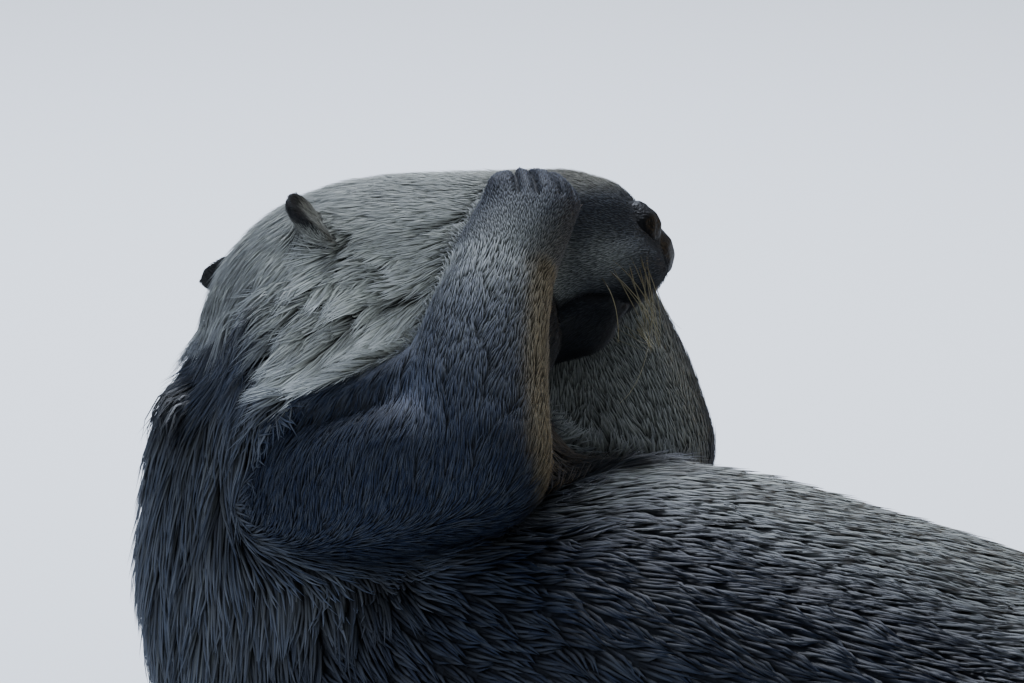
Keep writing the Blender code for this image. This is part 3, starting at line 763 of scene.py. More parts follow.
# The right arm's edge that faces the tail is golden brown: partly the buff fur of its underside, partly a
# painted backlit rim.
ARM_EDGE = np.array((0.93, 0.25, 0.1))
EDGE_BROWN = 0.9
on_arm = np.isin([plain(n) for n in part], ("upper_arm", "forearm"))
on_side = {side: np.char.endswith(part.astype(str), side) for side in ("right", "left")}
edge = np.where(on_arm & on_side["right"], smooth_step(0.5, 0.8, normal @ ARM_EDGE), 0)
brown = np.maximum(brown, EDGE_BROWN * spread(skin.data, edge, 3))

# Each wrist has a paler spot, a painted sheen, and each ear a dark rim.
WRISTS = {"right": on_head(-6.9, -7.2, 0.1), "left": on_head(-5.4, 6.8, -2.0)}
WRIST_SHEEN, WRIST_SPOT = 0.4, 22 * MM
for side, spot in WRISTS.items():
    off = np.linalg.norm(where - np.array(spot), axis=1)
    pale = pale + WRIST_SHEEN * np.exp(-((off / WRIST_SPOT) ** 2)) * on_side[side]

EAR_PALE, EAR_BROWN, RIM_DARKER = 0.75, 0.3, 0.75
RIM_FROM, RIM_TO = 11 * MM, 16 * MM
EAR_ROOTS = {"ear_right": on_head(-12.8, -4.85, 1.6), "ear_left": on_head(-13.0, 4.75, 1.1)}
for name, root in EAR_ROOTS.items():
    off = np.linalg.norm(where - np.array(root), axis=1)
    on_ear = part == name
    rim = smooth_step(RIM_FROM, RIM_TO, off)
    pale = np.where(on_ear, EAR_PALE * (1 - rim), pale)
    brown = np.where(on_ear, EAR_BROWN, brown)
    tone = np.where(on_ear, tone * (1 - RIM_DARKER * rim), tone)

DARKEST, LIGHTEST = 0.35, 1.7
tone = tone.clip(DARKEST, LIGHTEST)
lay = read(skin.data.vertex_normals, "vector", 3)
fields = {"start": start, "bend": bend, "wide": width, "cover": cover}
markings_and_shading = {"lay": lay, "pale": pale, "brown": brown, "bare": bare, "wet": wet, "tone": tone}
for name, values in (fields | markings_and_shading).items():
    write(skin.data, name, values)

# %% [markdown]
# ## Materials
#
# Wet guard hair is dark at the root, partly its own colour and partly painted shade deep in the coat, and
# silvery at the tip, with a thin film of water that gives it small bright lights. Skin and tufts read the
# same numbers, how pale, how brown and how light the coat is there, so the markings and the painted light and
# shade agree. Colours are picked as a painter would, in sRGB, and turned to linear once.


# %% Material helpers
def colour(code):
    """An sRGB hex colour as linear red, green, blue and alpha."""
    parts = [int(code[i : i + 2], 16) / 255 for i in (1, 3, 5)]
    return (*[p / 12.92 if p <= 0.04045 else ((p + 0.055) / 1.055) ** 2.4 for p in parts], 1.0)


def add(tree, kind, links=None, **settings):
    """Adds a node. links gives each input a socket, a node (for its first output) or a plain value."""
    node = tree.nodes.new(kind)
    for key, value in settings.items():
        setattr(node, key, value)
    for key, value in (links or {}).items():
        if isinstance(value, bpy.types.Node):
            value = value.outputs[0]
        if isinstance(value, bpy.types.NodeSocket):
            tree.links.new(value, node.inputs[key])
        else:
            node.inputs[key].default_value = value
    return node


def ramp(tree, factor, stops):
    """A colour that changes along factor, through (place, hex) stops."""
    node = add(tree, "ShaderNodeValToRGB", {0: factor})
    elements = node.color_ramp.elements
    while len(elements) < len(stops):
        elements.new(0.5)
    for element, (place, code) in zip(elements, stops):
        element.position = place
        element.color = colour(code)
    return node.outputs["Color"]


def blank(name):
    """An empty material, its node tree and its Principled shader."""
    made = bpy.data.materials.new(name)
    made.use_nodes = True
    return made, made.node_tree, made.node_tree.nodes["Principled BSDF"]


# %% Fur colours
# The dark coat is dark brown fur; its navy tint is a painted reflection of blue sky on the wet hair. The dark
# roots are partly painted shade deep in the coat.
ROOT_DARK, MID_DARK, TIP_DARK = "#05070b", "#121b2c", "#25344e"
ROOT_PALE, MID_PALE, TIP_PALE = "#2a2b24", "#a3a69b", "#d3d6cf"
ROOT_BROWN, MID_BROWN, TIP_BROWN = "#1a1713", "#524c3c", "#999177"


def coat_colour(tree, along, chance):
    """The coat's colour, by how pale and brown it is here, its mottle and painted light and shade, how far
    along the hair, and chance.
    """
    pale_here, brown_here, mottle_and_shading_here = (
        add(tree, "ShaderNodeAttribute", attribute_name=name).outputs["Fac"]
        for name in ("pale", "brown", "tone")
    )
    off = add(tree, "ShaderNodeMath", {0: chance, 1: -0.5}, operation="ADD")
    most = add(tree, "ShaderNodeMapRange", {0: pale_here, 3: 0.06, 4: 0.5})
    swing = add(tree, "ShaderNodeMath", {0: off, 1: most}, operation="MULTIPLY")
    how_pale = add(tree, "ShaderNodeMath", {0: pale_here, 1: swing}, operation="ADD", use_clamp=True)
    dark = ramp(tree, along, [(0.0, ROOT_DARK), (0.55, MID_DARK), (1.0, TIP_DARK)])
    light = ramp(tree, along, [(0.0, ROOT_PALE), (0.5, MID_PALE), (1.0, TIP_PALE)])
    warm = ramp(tree, along, [(0.0, ROOT_BROWN), (0.5, MID_BROWN), (1.0, TIP_BROWN)])
    mixed = add(tree, "ShaderNodeMix", {0: how_pale, 6: dark, 7: light}, data_type="RGBA").outputs[2]
    mixed = add(tree, "ShaderNodeMix", {0: brown_here, 6: mixed, 7: warm}, data_type="RGBA").outputs[2]
    return add(tree, "ShaderNodeHueSaturation", {"Value": mottle_and_shading_here, "Color": mixed})


def wet_guard_hair():
    """Wet guard hair: smooth keratin under a film of water. Small bright lights on silver-tipped locks."""
    made, tree, shader = blank("wet guard hair")
    along, across, chance, wet_here = (
        add(tree, "ShaderNodeAttribute", attribute_name=name).outputs["Fac"]
        for name in ("along", "across", "chance", "wet")
    )
    # Each tuft is a little lighter or darker than the next.
    shade = add(tree, "ShaderNodeMath", {0: chance, 1: 97.3}, operation="MULTIPLY")
    shade = add(tree, "ShaderNodeMath", {0: shade}, operation="FRACT")
    value = add(tree, "ShaderNodeMapRange", {0: shade, 3: 0.85, 4: 1.15})
    tint = add(tree, "ShaderNodeHueSaturation", {"Value": value, "Color": coat_colour(tree, along, chance)})
    # Its hairs are streaks that run along it, nine to a tuft. That is coarser than real, so as to show.
    hairs = add(tree, "ShaderNodeCombineXYZ", {0: across, 1: along, 2: chance})
    hairs = add(tree, "ShaderNodeVectorMath", {0: hairs, 1: (9.0, 0.8, 60.0)}, operation="MULTIPLY")
    streak = add(tree, "ShaderNodeTexNoise", {"Vector": hairs, "Scale": 1.0, "Detail": 2.0}).outputs["Fac"]
    # A pile of fine hairs takes the light as the surface under it does, and wet locks partly as rods.
    lay = add(tree, "ShaderNodeAttribute", attribute_name="lay").outputs["Vector"]
    own = add(tree, "ShaderNodeNewGeometry").outputs["Normal"]
    piled = add(tree, "ShaderNodeMapRange", {0: wet_here, 1: 0.75, 2: 1.0, 3: 0.82, 4: 0.68})
    facing = add(tree, "ShaderNodeMix", {0: piled, 4: own, 5: lay}, data_type="VECTOR").outputs[1]
    links = {"Height": streak, "Strength": 0.3, "Distance": 0.2 * MM, "Normal": facing}
    relief = add(tree, "ShaderNodeBump", links)
    rough = add(tree, "ShaderNodeMapRange", {0: wet_here, 3: 0.7, 4: 0.52})
    film = add(tree, "ShaderNodeMapRange", {0: wet_here, 3: 0.0, 4: 0.08})
    tree.links.new(tint.outputs[0], shader.inputs["Base Color"])
    tree.links.new(relief.outputs[0], shader.inputs["Normal"])
    tree.links.new(rough.outputs[0], shader.inputs["Roughness"])
    tree.links.new(film.outputs[0], shader.inputs["Coat Weight"])
    shader.inputs["Specular IOR Level"].default_value = 0.14
    shader.inputs["Coat Roughness"].default_value = 0.26
    shader.inputs["Coat IOR"].default_value = 1.33
    return made


def furred_skin():
    """Skin under short wet underfur: a darker, matt ground with the same markings and painted light and shade
    as the coat.
    """
    made, tree, shader = blank("skin under wet underfur")
    place = add(tree, "ShaderNodeTexCoord").outputs["Object"]
    links = {"Vector": place, "Scale": 1 / (1.6 * MM), "Detail": 3.0}
    speckle = add(tree, "ShaderNodeTexNoise", links).outputs["Fac"]
    wet_here, bare_here = (
        add(tree, "ShaderNodeAttribute", attribute_name=name).outputs["Fac"] for name in ("wet", "bare")
    )
    # Darker where wetter: partly the wet underfur's own colour, partly painted shade in the gaps between
    # clumped locks.
    value = add(tree, "ShaderNodeMapRange", {0: wet_here, 3: 0.6, 4: 0.22})
    dim = add(tree, "ShaderNodeHueSaturation", {"Value": value, "Color": coat_colour(tree, speckle, speckle)})
    links = {0: bare_here, 6: dim, 7: colour("#0d0c0d")}
    tint = add(tree, "ShaderNodeMix", links, data_type="RGBA").outputs[2]
    relief = add(tree, "ShaderNodeBump", {"Height": speckle, "Strength": 0.6, "Distance": 0.5 * MM})
    tree.links.new(tint, shader.inputs["Base Color"])
    tree.links.new(relief.outputs[0], shader.inputs["Normal"])
    shader.inputs["Roughness"].default_value = 0.7
    shader.inputs["Specular IOR Level"].default_value = 0.15
    return made


HAIR = wet_guard_hair()
SKIN = furred_skin()
skin.data.materials.clear()
skin.data.materials.append(SKIN)
skin.data.shade_smooth()

# %% [markdown]
# ## One tuft
#
# A tuft stands for a few dozen hairs that cling together. It is a three-sided spike: two low sides that lie
# on the body and a ridge that catches the light. A short one needs one ring half way, a long lock two.
# Each point knows how far along the tuft it is, and has a place on a small square of the texture.


# %% Tuft shapes
def tuft(name, ridge, rings):
    """A closed spike of unit length and width. rings gives (share of the length, share of the width)."""
    work = bmesh.new()
    rows = []
    for along, wide in rings:
        corners = [(-0.5, 0.0), (0.5, 0.0), (0.0, ridge)]
        rows.append([work.verts.new((along, y * wide, z * wide)) for y, z in corners])
    tip = work.verts.new((1.0, 0.0, 0.0))
    work.faces.new(rows[0][::-1])
    close_rings(work, rows, tip)
    mesh = finished(work, bpy.data.meshes.new(name))
    mesh.shade_smooth()
    count = len(mesh.vertices)
    along = np.array([v.co.x for v in mesh.vertices])
    across = np.append(np.tile([0.0, 1.0, 0.5], len(rings)), 0.5)
    write(mesh, "along", along)
    write(mesh, "across", across)
    write(mesh, "patch", np.stack([across - 0.5, along - 0.5, np.zeros(count)], axis=1))
    made = new_object(name, mesh)
    made.hide_render = True
    made.hide_viewport = True
    return made


WIDEST_HALF_WAY = [(0.0, 0.75), (0.5, 1.0)]
FLAT_TUFT = tuft("flat_tuft", 0.2, WIDEST_HALF_WAY)
SHORT_TUFT = tuft("short_tuft", 0.32, WIDEST_HALF_WAY)
LONG_LOCK = tuft("long_lock", 0.36, [(0.0, 0.8), (0.35, 1.0), (0.7, 0.7)])

# %% [markdown]
# ## Combing tufts over the skin with Geometry Nodes
#
# Geometry Nodes are the tool for thousands of like things on a surface. The tree scatters points evenly,
# stands a tuft on each, turned along the lie of the coat and sized from the numbers on the skin, and then
# bends the tufts. Wet hairs are drawn together by the water, so a second, sparser scatter marks the middle
# of each clump, and the tips of the tufts around it are pulled towards it.


# %% The combing tree
def open_tree(name, inputs, output):
    """A new Geometry Nodes tree with named inputs, and the sockets that give them."""
    tree = bpy.data.node_groups.new(name, "GeometryNodeTree")
    for socket, kind in inputs.items():
        tree.interface.new_socket(name=socket, in_out="INPUT", socket_type=f"NodeSocket{kind}")
    tree.interface.new_socket(name=output, in_out="OUTPUT", socket_type="NodeSocketGeometry")
    return tree, tree.nodes.new("NodeGroupInput").outputs


COMB_INPUTS = {
    "Skin": "Geometry",
    "Tuft": "Object",
    "Coat": "Material",
    "Tufts per square metre": "Float",
    "Least distance": "Float",
    "Clumps per square metre": "Float",
    "Clump pull": "Float",
    "Stray": "Float",
    "Patch": "Float",
    "Floor": "Float",
    "Seed": "Int",
}
# The numbers that lie on the skin, on a tuft, or on the scattered points.
STORED = dict.fromkeys(("cover", "wet", "wide", "along"), "FLOAT")
STORED |= dict.fromkeys(("start", "bend", "curl", "patch", "root"), "FLOAT_VECTOR")
SHORTEST, LONGEST = 0.65, 1.12


def scatter(tree, given, stored):
    """Points for the tufts, and how each is pulled to the middle of its wet clump."""
    links = {
        "Mesh": given["Skin"],
        "Distance Min": given["Least distance"],
        "Density Max": given["Tufts per square metre"],
        "Density Factor": stored["cover"],
        "Seed": given["Seed"],
    }
    points = add(tree, "GeometryNodeDistributePointsOnFaces", links, distribute_method="POISSON")
    links = {"Mesh": given["Skin"], "Density": given["Clumps per square metre"], "Seed": given["Seed"]}
    middles = add(tree, "GeometryNodeDistributePointsOnFaces", links, distribute_method="RANDOM")
    place = add(tree, "GeometryNodeInputPosition")
    nearest = add(tree, "GeometryNodeSampleNearest", {"Geometry": middles}, domain="POINT")
    links = {"Geometry": middles, "Value": place, "Index": nearest}
    middle = add(tree, "GeometryNodeSampleIndex", links, data_type="FLOAT_VECTOR")
    way = add(tree, "ShaderNodeVectorMath", {0: middle, 1: place}, operation="SUBTRACT")
    strength = add(tree, "ShaderNodeMath", {0: stored["wet"], 1: given["Clump pull"]}, operation="MULTIPLY")
    return points, add(tree, "ShaderNodeVectorMath", {0: way, "Scale": strength}, operation="SCALE")


def aim_tufts(tree, given, stored):
    """Where each tuft points and how far it reaches, and its length's share of the usual."""
    links = {2: SHORTEST, 3: LONGEST, "Seed": 12}
    jitter = add(tree, "FunctionNodeRandomValue", links, data_type="FLOAT").outputs[1]
    links = {0: (-1, -1, -1), 1: (1, 1, 1), "Seed": 13}
    stray = add(tree, "FunctionNodeRandomValue", links, data_type="FLOAT_VECTOR")
    reach = add(tree, "ShaderNodeVectorMath", {0: stored["start"]}, operation="LENGTH").outputs["Value"]
    lean = add(tree, "ShaderNodeMath", {0: reach, 1: given["Stray"]}, operation="MULTIPLY")
    aside = add(tree, "ShaderNodeVectorMath", {0: stray, "Scale": lean}, operation="SCALE")
    aim = add(tree, "ShaderNodeVectorMath", {0: stored["start"], 1: aside}, operation="ADD")
    return add(tree, "ShaderNodeVectorMath", {0: aim, "Scale": jitter}, operation="SCALE"), jitter


def stand_tufts(tree, given, stored, points, aim, curl):
    """A real tuft on every point, turned along its aim, with its curl and a number of its own."""
    chance = add(tree, "FunctionNodeRandomValue", {"Seed": 11}, data_type="FLOAT").outputs[1]
    marked = points
    for name, value, kind in (("curl", curl, "FLOAT_VECTOR"), ("chance", chance, "FLOAT")):
        links = {"Geometry": marked, "Name": name, "Value": value}
        marked = add(tree, "GeometryNodeStoreNamedAttribute", links, data_type=kind, domain="POINT")
    turn = add(tree, "FunctionNodeAlignRotationToVector", {"Vector": aim}, axis="X")
    links = {"Rotation": turn, "Vector": points.outputs["Normal"]}
    turn = add(tree, "FunctionNodeAlignRotationToVector", links, axis="Z", pivot_axis="X")
    far = add(tree, "ShaderNodeVectorMath", {0: aim}, operation="LENGTH").outputs["Value"]
    size = add(tree, "ShaderNodeCombineXYZ", {0: far, 1: stored["wide"], 2: stored["wide"]})
    shape = add(tree, "GeometryNodeObjectInfo", {"Object": given["Tuft"]}).outputs["Geometry"]
    links = {"Points": marked, "Instance": shape, "Rotation": turn, "Scale": size}
    standing = add(tree, "GeometryNodeInstanceOnPoints", links)
    return add(tree, "GeometryNodeRealizeInstances", {"Geometry": standing})


def bend_tufts(tree, given, stored, standing):
    """Bends each tuft by its curl, most at the tip, and keeps it above the floor."""
    squared = add(tree, "ShaderNodeMath", {0: stored["along"], 1: stored["along"]}, operation="MULTIPLY")
    offset = add(tree, "ShaderNodeVectorMath", {0: stored["curl"], "Scale": squared}, operation="SCALE")
    bent = add(tree, "GeometryNodeSetPosition", {"Geometry": standing, "Offset": offset})
    place = add(tree, "GeometryNodeInputPosition")
    apart = add(tree, "ShaderNodeSeparateXYZ", {0: place}).outputs
    above = add(tree, "ShaderNodeMath", {0: apart[2], 1: given["Floor"]}, operation="MAXIMUM")
    rested = add(tree, "ShaderNodeCombineXYZ", {0: apart[0], 1: apart[1], 2: above})
    return add(tree, "GeometryNodeSetPosition", {"Geometry": bent, "Position": rested})


def map_tufts(tree, given, stored, bent):
    """Gives each tuft a small patch of the flat map, at its root's place, and the coat's material."""
    links = {0: stored["patch"], "Scale": given["Patch"]}
    small = add(tree, "ShaderNodeVectorMath", links, operation="SCALE")
    spot = add(tree, "ShaderNodeVectorMath", {0: stored["root"], 1: small}, operation="ADD")
    links = {"Geometry": bent, "Name": "OFBake", "Value": spot}
    mapped = add(tree, "GeometryNodeStoreNamedAttribute", links, data_type="FLOAT2", domain="CORNER")
    return add(tree, "GeometryNodeSetMaterial", {"Geometry": mapped, "Material": given["Coat"]})


def comb_tree():
    """The node tree that combs tufts over a patch of skin."""
    tree, given = open_tree("Comb tufts over a skin", COMB_INPUTS, "Fur")
    stored = {}
    for name, kind in STORED.items():
        stored[name] = add(tree, "GeometryNodeInputNamedAttribute", {"Name": name}, data_type=kind)
    points, pull = scatter(tree, given, stored)
    aim, jitter = aim_tufts(tree, given, stored)
    bend = add(tree, "ShaderNodeVectorMath", {0: stored["bend"], "Scale": jitter}, operation="SCALE")
    curl = add(tree, "ShaderNodeVectorMath", {0: bend, 1: pull}, operation="ADD")
    standing = stand_tufts(tree, given, stored, points, aim, curl)
    bent = bend_tufts(tree, given, stored, standing)
    add(tree, "NodeGroupOutput", {0: map_tufts(tree, given, stored, bent)})
    return tree


COMB = comb_tree()
print("combing tree:", len(COMB.nodes), "nodes")

# %% [markdown]
# ## The carriers
#
# Each piece of the coat is combed over its own patch of skin. A patch is unwrapped flat, and every tuft takes
# the place of its root on that flat map, so the coat's colours can be baked without one tuft's colour
# spilling over another's.

# %% Combing each patch
PATCH = 0.003
SHARPEST_UNFOLDED = math.radians(66)
BETWEEN_ISLANDS = 0.002
FLOOR_CLEARANCE = 0.3 * MM
# Poisson scatter drops what comes too close, so twice as many points are thrown as would fill the area.
THROWN = 2.0
LEAST_SPACING = 0.8
WORKING = ("start", "bend", "wide", "cover", "root", "curl", "patch", "bare")


def carrier(name, chosen):
    """A copy of the chosen faces of the skin, unwrapped, with each root's place on the map stored."""
    work = bmesh.new()
    work.from_mesh(skin.data)
    work.faces.ensure_lookup_table()
    bmesh.ops.delete(work, geom=[f for f in work.faces if not chosen[f.index]], context="FACES")
    mesh = finished(work, bpy.data.meshes.new(name))
    made = new_object(name, mesh)
    mesh.uv_layers.new(name="flat")
    bpy.context.view_layer.objects.active = made
    made.select_set(True)
    bpy.ops.object.mode_set(mode="EDIT")
    bpy.ops.mesh.select_all(action="SELECT")
    bpy.ops.uv.smart_project(angle_limit=SHARPEST_UNFOLDED, island_margin=BETWEEN_ISLANDS)
    bpy.ops.object.mode_set(mode="OBJECT")
    flat = read(mesh.uv_layers["flat"].data, "uv", 2)
    field = mesh.attributes.new("root", "FLOAT_VECTOR", "CORNER")
    field.data.foreach_set("vector", np.pad(flat, ((0, 0), (0, 1))).astype(np.float32).ravel())
    return made


def comb(name, chosen, shape, spacing, clump, pull, stray, seed):
    """Combs one piece of the coat over the chosen faces."""
    base = carrier(name, chosen)
    settings = {
        "Tuft": shape,
        "Coat": HAIR,
        "Tufts per square metre": THROWN / (spacing * MM) ** 2,
        "Least distance": LEAST_SPACING * spacing * MM,
        "Clumps per square metre": 1 / (clump * MM) ** 2,
        "Clump pull": pull,
        "Stray": stray,
        "Patch": PATCH,
        "Floor": FLOOR_CLEARANCE,
        "Seed": seed,
    }
    set_inputs(base, COMB, settings)
    bake(base)
    for extra in WORKING:
        if extra in base.data.attributes:
            base.data.attributes.remove(base.data.attributes[extra])
    base.data.shade_smooth()
    triangles = sum(len(p.vertices) - 2 for p in base.data.polygons)
    print(name, triangles, "triangles")
    return base


face_part = np.array([part[p.vertices[0]] for p in skin.data.polygons])
face_kind = np.array([plain(n) for n in face_part])
face_head = in_head(np.array([p.center for p in skin.data.polygons]))
is_head = face_kind == "head"
FACE_BACK = 7.0
front = face_head[:, 0] > -FACE_BACK
right_side = face_head[:, 1] < 0
on_arms = np.isin(face_kind, ("upper_arm", "forearm"))
right_limb = np.char.endswith(face_part.astype(str), "_right")

# Name: (faces, shape, millimetres between tufts and between clumps, pull to the clump, stray, slot).
PIECES = {
    "coat_face": (is_head & front, FLAT_TUFT, 0.73, 3.0, 0.5, 0.1, "coat_pale_grey"),
    "coat_head_right": (is_head & ~front & right_side, FLAT_TUFT, 0.66, 7.0, 0.9, 0.06, "coat_pale_grey"),
    "coat_head_left": (is_head & ~front & ~right_side, FLAT_TUFT, 0.8, 7.0, 0.9, 0.06, "coat_pale_grey"),
    "coat_neck": (face_kind == "neck", LONG_LOCK, 1.65, 9.0, 0.9, 0.06, "coat_dark_brown"),
    "coat_chest": (face_kind == "chest", SHORT_TUFT, 2.4, 8.0, 0.85, 0.05, "coat_dark_brown"),
    "coat_belly": (face_kind == "belly", SHORT_TUFT, 2.5, 8.0, 0.85, 0.05, "coat_dark_brown"),
    "coat_hips": (face_kind == "hips", SHORT_TUFT, 2.7, 9.0, 0.85, 0.05, "coat_dark_brown"),
    "coat_arm_right": (on_arms & right_limb, FLAT_TUFT, 0.85, 6.0, 0.7, 0.07, "coat_dark_brown"),
    "coat_arm_left": (on_arms & ~right_limb, FLAT_TUFT, 1.05, 6.0, 0.7, 0.07, "coat_dark_brown"),
    "coat_legs": (np.isin(face_kind, ("leg", "tail")), SHORT_TUFT, 2.4, 9.0, 0.8, 0.08, "coat_dark_brown"),
    "coat_feet": (face_kind == "hind_foot", SHORT_TUFT, 2.1, 4.0, 0.3, 0.12, "coat_short_brown"),
    "coat_paws": (np.isin(face_kind, ("paw", "ear")), FLAT_TUFT, 0.7, 2.2, 0.3, 0.1, "coat_short_brown"),
}

for seed, (name, (chosen, shape, spacing, clump, pull, stray, slot)) in enumerate(PIECES.items()):
    made = comb(name, chosen, shape, spacing, clump, pull, stray, seed + 3)
    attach(made, "root")

for extra in fields:
    skin.data.attributes.remove(skin.data.attributes[extra])
for helper in (FLAT_TUFT, SHORT_TUFT, LONG_LOCK):
    bpy.data.objects.remove(helper)
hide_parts(*FLESH)
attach(skin, "root")

# %% [markdown]
# ## Eyes
#
# An otter's eye is nearly all dark brown iris. Only the part between the lids shows, and what makes it look
# alive is the clear wet surface: the ball has a sharp, colourless coat of gloss over a soft dark colour.


# %% Eyeballs
def eyeball(side):
    """One eyeball, with each point's angle from the way the eye looks."""
    work = bmesh.new()
    bmesh.ops.create_uvsphere(work, u_segments=48, v_segments=32, radius=EYE_RADIUS)
    mesh = finished(work, bpy.data.meshes.new(f"eyeball_{side}"))
    points = read(mesh.vertices, "co", 3)
    look = np.array(gaze(side))
    write(mesh, "off_axis", np.degrees(np.arccos(np.clip(unit(points) @ look, -1, 1))))
    mesh.transform(Matrix.Translation(EYE_PLACES[side]))
    mesh.shade_smooth()
    made = new_object(f"eyeball_{side}", mesh)
    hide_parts(f"eye_{side}")
    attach(made, "root")
    return made


def dark_eye():
    """The eye: a dark brown iris round a black pupil, under the clear wet cornea."""
    made, tree, shader = blank("dark eye under clear cornea")
    angle = add(tree, "ShaderNodeAttribute", attribute_name="off_axis").outputs["Fac"]
    share = add(tree, "ShaderNodeMath", {0: angle, 1: 90.0}, operation="DIVIDE")
    stops = [(0.0, "#030303"), (0.2, "#040303"), (0.24, "#2a160c"), (0.42, "#1a0e08"), (0.5, "#0a0706")]
    tree.links.new(ramp(tree, share, stops), shader.inputs["Base Color"])
    shader.inputs["Roughness"].default_value = 0.35
    shader.inputs["Coat Weight"].default_value = 1.0
    shader.inputs["Coat Roughness"].default_value = 0.02
    shader.inputs["Coat IOR"].default_value = 1.376
    return made


EYE_FINISH = dark_eye()
for side in EYE_PLACES:
    eyeball(side).data.materials.append(EYE_FINISH)
print("eyes at", [[round(v, 3) for v in place] for place in EYE_PLACES.values()])

# %% [markdown]
# ## Nose pad
#
# The bare nose is the size of a walnut half, black and pebbled, with a nostril opening to each side and a
# groove down the middle. The solid gives its place and outline. It is remeshed finely, and the nostrils are
# pressed in where their ellipses lie.

# %% Nose pad
NOSE_STEP = 0.55 * MM
NOSTRIL = (-1.2, 1.5, 1.05)
NOSTRIL_LONG = (0.15, 0.65, -0.75)
NOSTRIL_HALF_LENGTH = 0.5
NOSTRIL_HALF_WIDTH = 0.24
NOSTRIL_DEPTH = 2.4 * MM
NOSTRIL_RIM = 0.3 * MM
GROOVE_DEPTH = 1.0 * MM
GROOVE_HALF = 0.09
NOSE_ROUNDS = 16
NOSE_SWELL = 0.3 * MM


def nose_pad():
    """The nose's solid, remeshed finely, with its nostrils and groove pressed in."""
    made = one_surface("nose_pad", ["nose"], NOSE_SWELL, NOSE_STEP, NOSE_ROUNDS)
    points = read(made.data.vertices, "co", 3).astype(float)
    out = read(made.data.vertex_normals, "vector", 3)
    place = in_head(points)
    move, nostril_shade = np.zeros(len(points)), np.zeros(len(points))
    for side in (-1, 1):
        flip = np.array([1, side, 1])
        off = place - np.array(NOSTRIL) * flip
        long = unit(np.array([NOSTRIL_LONG]) * flip)[0]
        along = off @ long
        aside = np.linalg.norm(off - along[:, None] * long, axis=1)
        ring = np.hypot(along / NOSTRIL_HALF_LENGTH, aside / NOSTRIL_HALF_WIDTH)
        move -= NOSTRIL_DEPTH * smooth_step(1.15, 0.55, ring)
        nostril_shade = np.maximum(nostril_shade, smooth_step(1.2, 0.8, ring))
        move += NOSTRIL_RIM * np.exp(-(((ring - 1.35) / 0.3) ** 2))
    groove = np.exp(-((place[:, 1] / GROOVE_HALF) ** 2)) * smooth_step(0.7, 0.1, place[:, 2])
    points += out * (move - GROOVE_DEPTH * groove)[:, None]
    made.data.vertices.foreach_set("co", points.astype(np.float32).ravel())
    write(made.data, "nostril_shade", nostril_shade)
    made.data.shade_smooth()
    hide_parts("nose")
    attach(made, "root")
    print("nose pad:", len(made.data.polygons), "faces")
    return made


def pebbled_skin(name, code, grain):
    """Bare skin: rounded pebbles with fine creases between them, black and softly shiny."""
    made, tree, shader = blank(name)
    place = add(tree, "ShaderNodeTexCoord").outputs["Object"]
    links = {"Vector": place, "Scale": 1 / (grain * MM)}
    cells = add(tree, "ShaderNodeTexVoronoi", links, feature="SMOOTH_F1").outputs["Distance"]
    links = {"Vector": place, "Scale": 2.5 / (grain * MM), "Detail": 3.0}
    fine = add(tree, "ShaderNodeTexNoise", links).outputs["Fac"]
    height = add(tree, "ShaderNodeMath", {0: cells, 1: -1.0}, operation="MULTIPLY")
    height = add(tree, "ShaderNodeMath", {0: fine, 1: 0.25, 2: height}, operation="MULTIPLY_ADD")
    relief = add(tree, "ShaderNodeBump", {"Height": height, "Strength": 0.7, "Distance": 0.35 * MM})
    rough = add(tree, "ShaderNodeMapRange", {0: fine, 3: 0.42, 4: 0.65})
    # The nostrils are holes, so they are painted black without shine, as painted shade inside them.
    nostril_shade = add(tree, "ShaderNodeAttribute", attribute_name="nostril_shade").outputs["Fac"]
    links = {0: nostril_shade, 6: colour(code), 7: colour("#000000")}
    tint = add(tree, "ShaderNodeMix", links, data_type="RGBA").outputs[2]
    shine = add(tree, "ShaderNodeMapRange", {0: nostril_shade, 3: 0.1, 4: 0.0})
    tree.links.new(tint, shader.inputs["Base Color"])
    tree.links.new(relief.outputs[0], shader.inputs["Normal"])
    tree.links.new(rough.outputs[0], shader.inputs["Roughness"])
    tree.links.new(shine.outputs[0], shader.inputs["Specular IOR Level"])
    return made


nose_pad().data.materials.append(pebbled_skin("moist black nose skin", "#050506", 0.9))

# %% [markdown]
# ## Whiskers
#
# An otter's whiskers are thick, stiff and pale, in rows on the pad beside the nose. These are wet, so they
# hang and cling together at their tips. Each is first a thin line of points, a curve from its root that is
# drawn down to where the wet hairs meet. Geometry Nodes turn the lines into curves and sweep a small circle
# along them, with a radius that is stored on the points and falls to a fifth at the tip.


# %% Whisker lines
WHISKER_RADIUS = 0.18 * MM
WHISKER_STEPS = 14
WHISKER_ROWS = 3
WHISKERS_IN_ROW = 4
TIP_THICKNESS = 0.18
# The first root on the pad, and how far the next whisker and the next row lie behind and below it, in
# centimetres. The whiskers of a row stand wider apart from front to back.
ROOT_BEHIND, ROOT_ASIDE, ROOT_BELOW = 1.1, 3.5, 0.2
NEXT_BEHIND, WIDENING = 0.35, 1.4
ROW_BEHIND, ROW_BELOW = 0.1, 0.28
# Least and most that a whisker bows outwards and ahead, in millimetres.
BOW_OUT, BOW_AHEAD = (7, 13), (-4, 5)
# Where the wet whiskers meet, on the head, and how far apart their tips stay, in centimetres.
WHISKERS_MEET = {"right": (-1.5, -1.7, -3.3), "left": (-0.8, 2.4, -2.9)}
TIPS_APART = 0.13
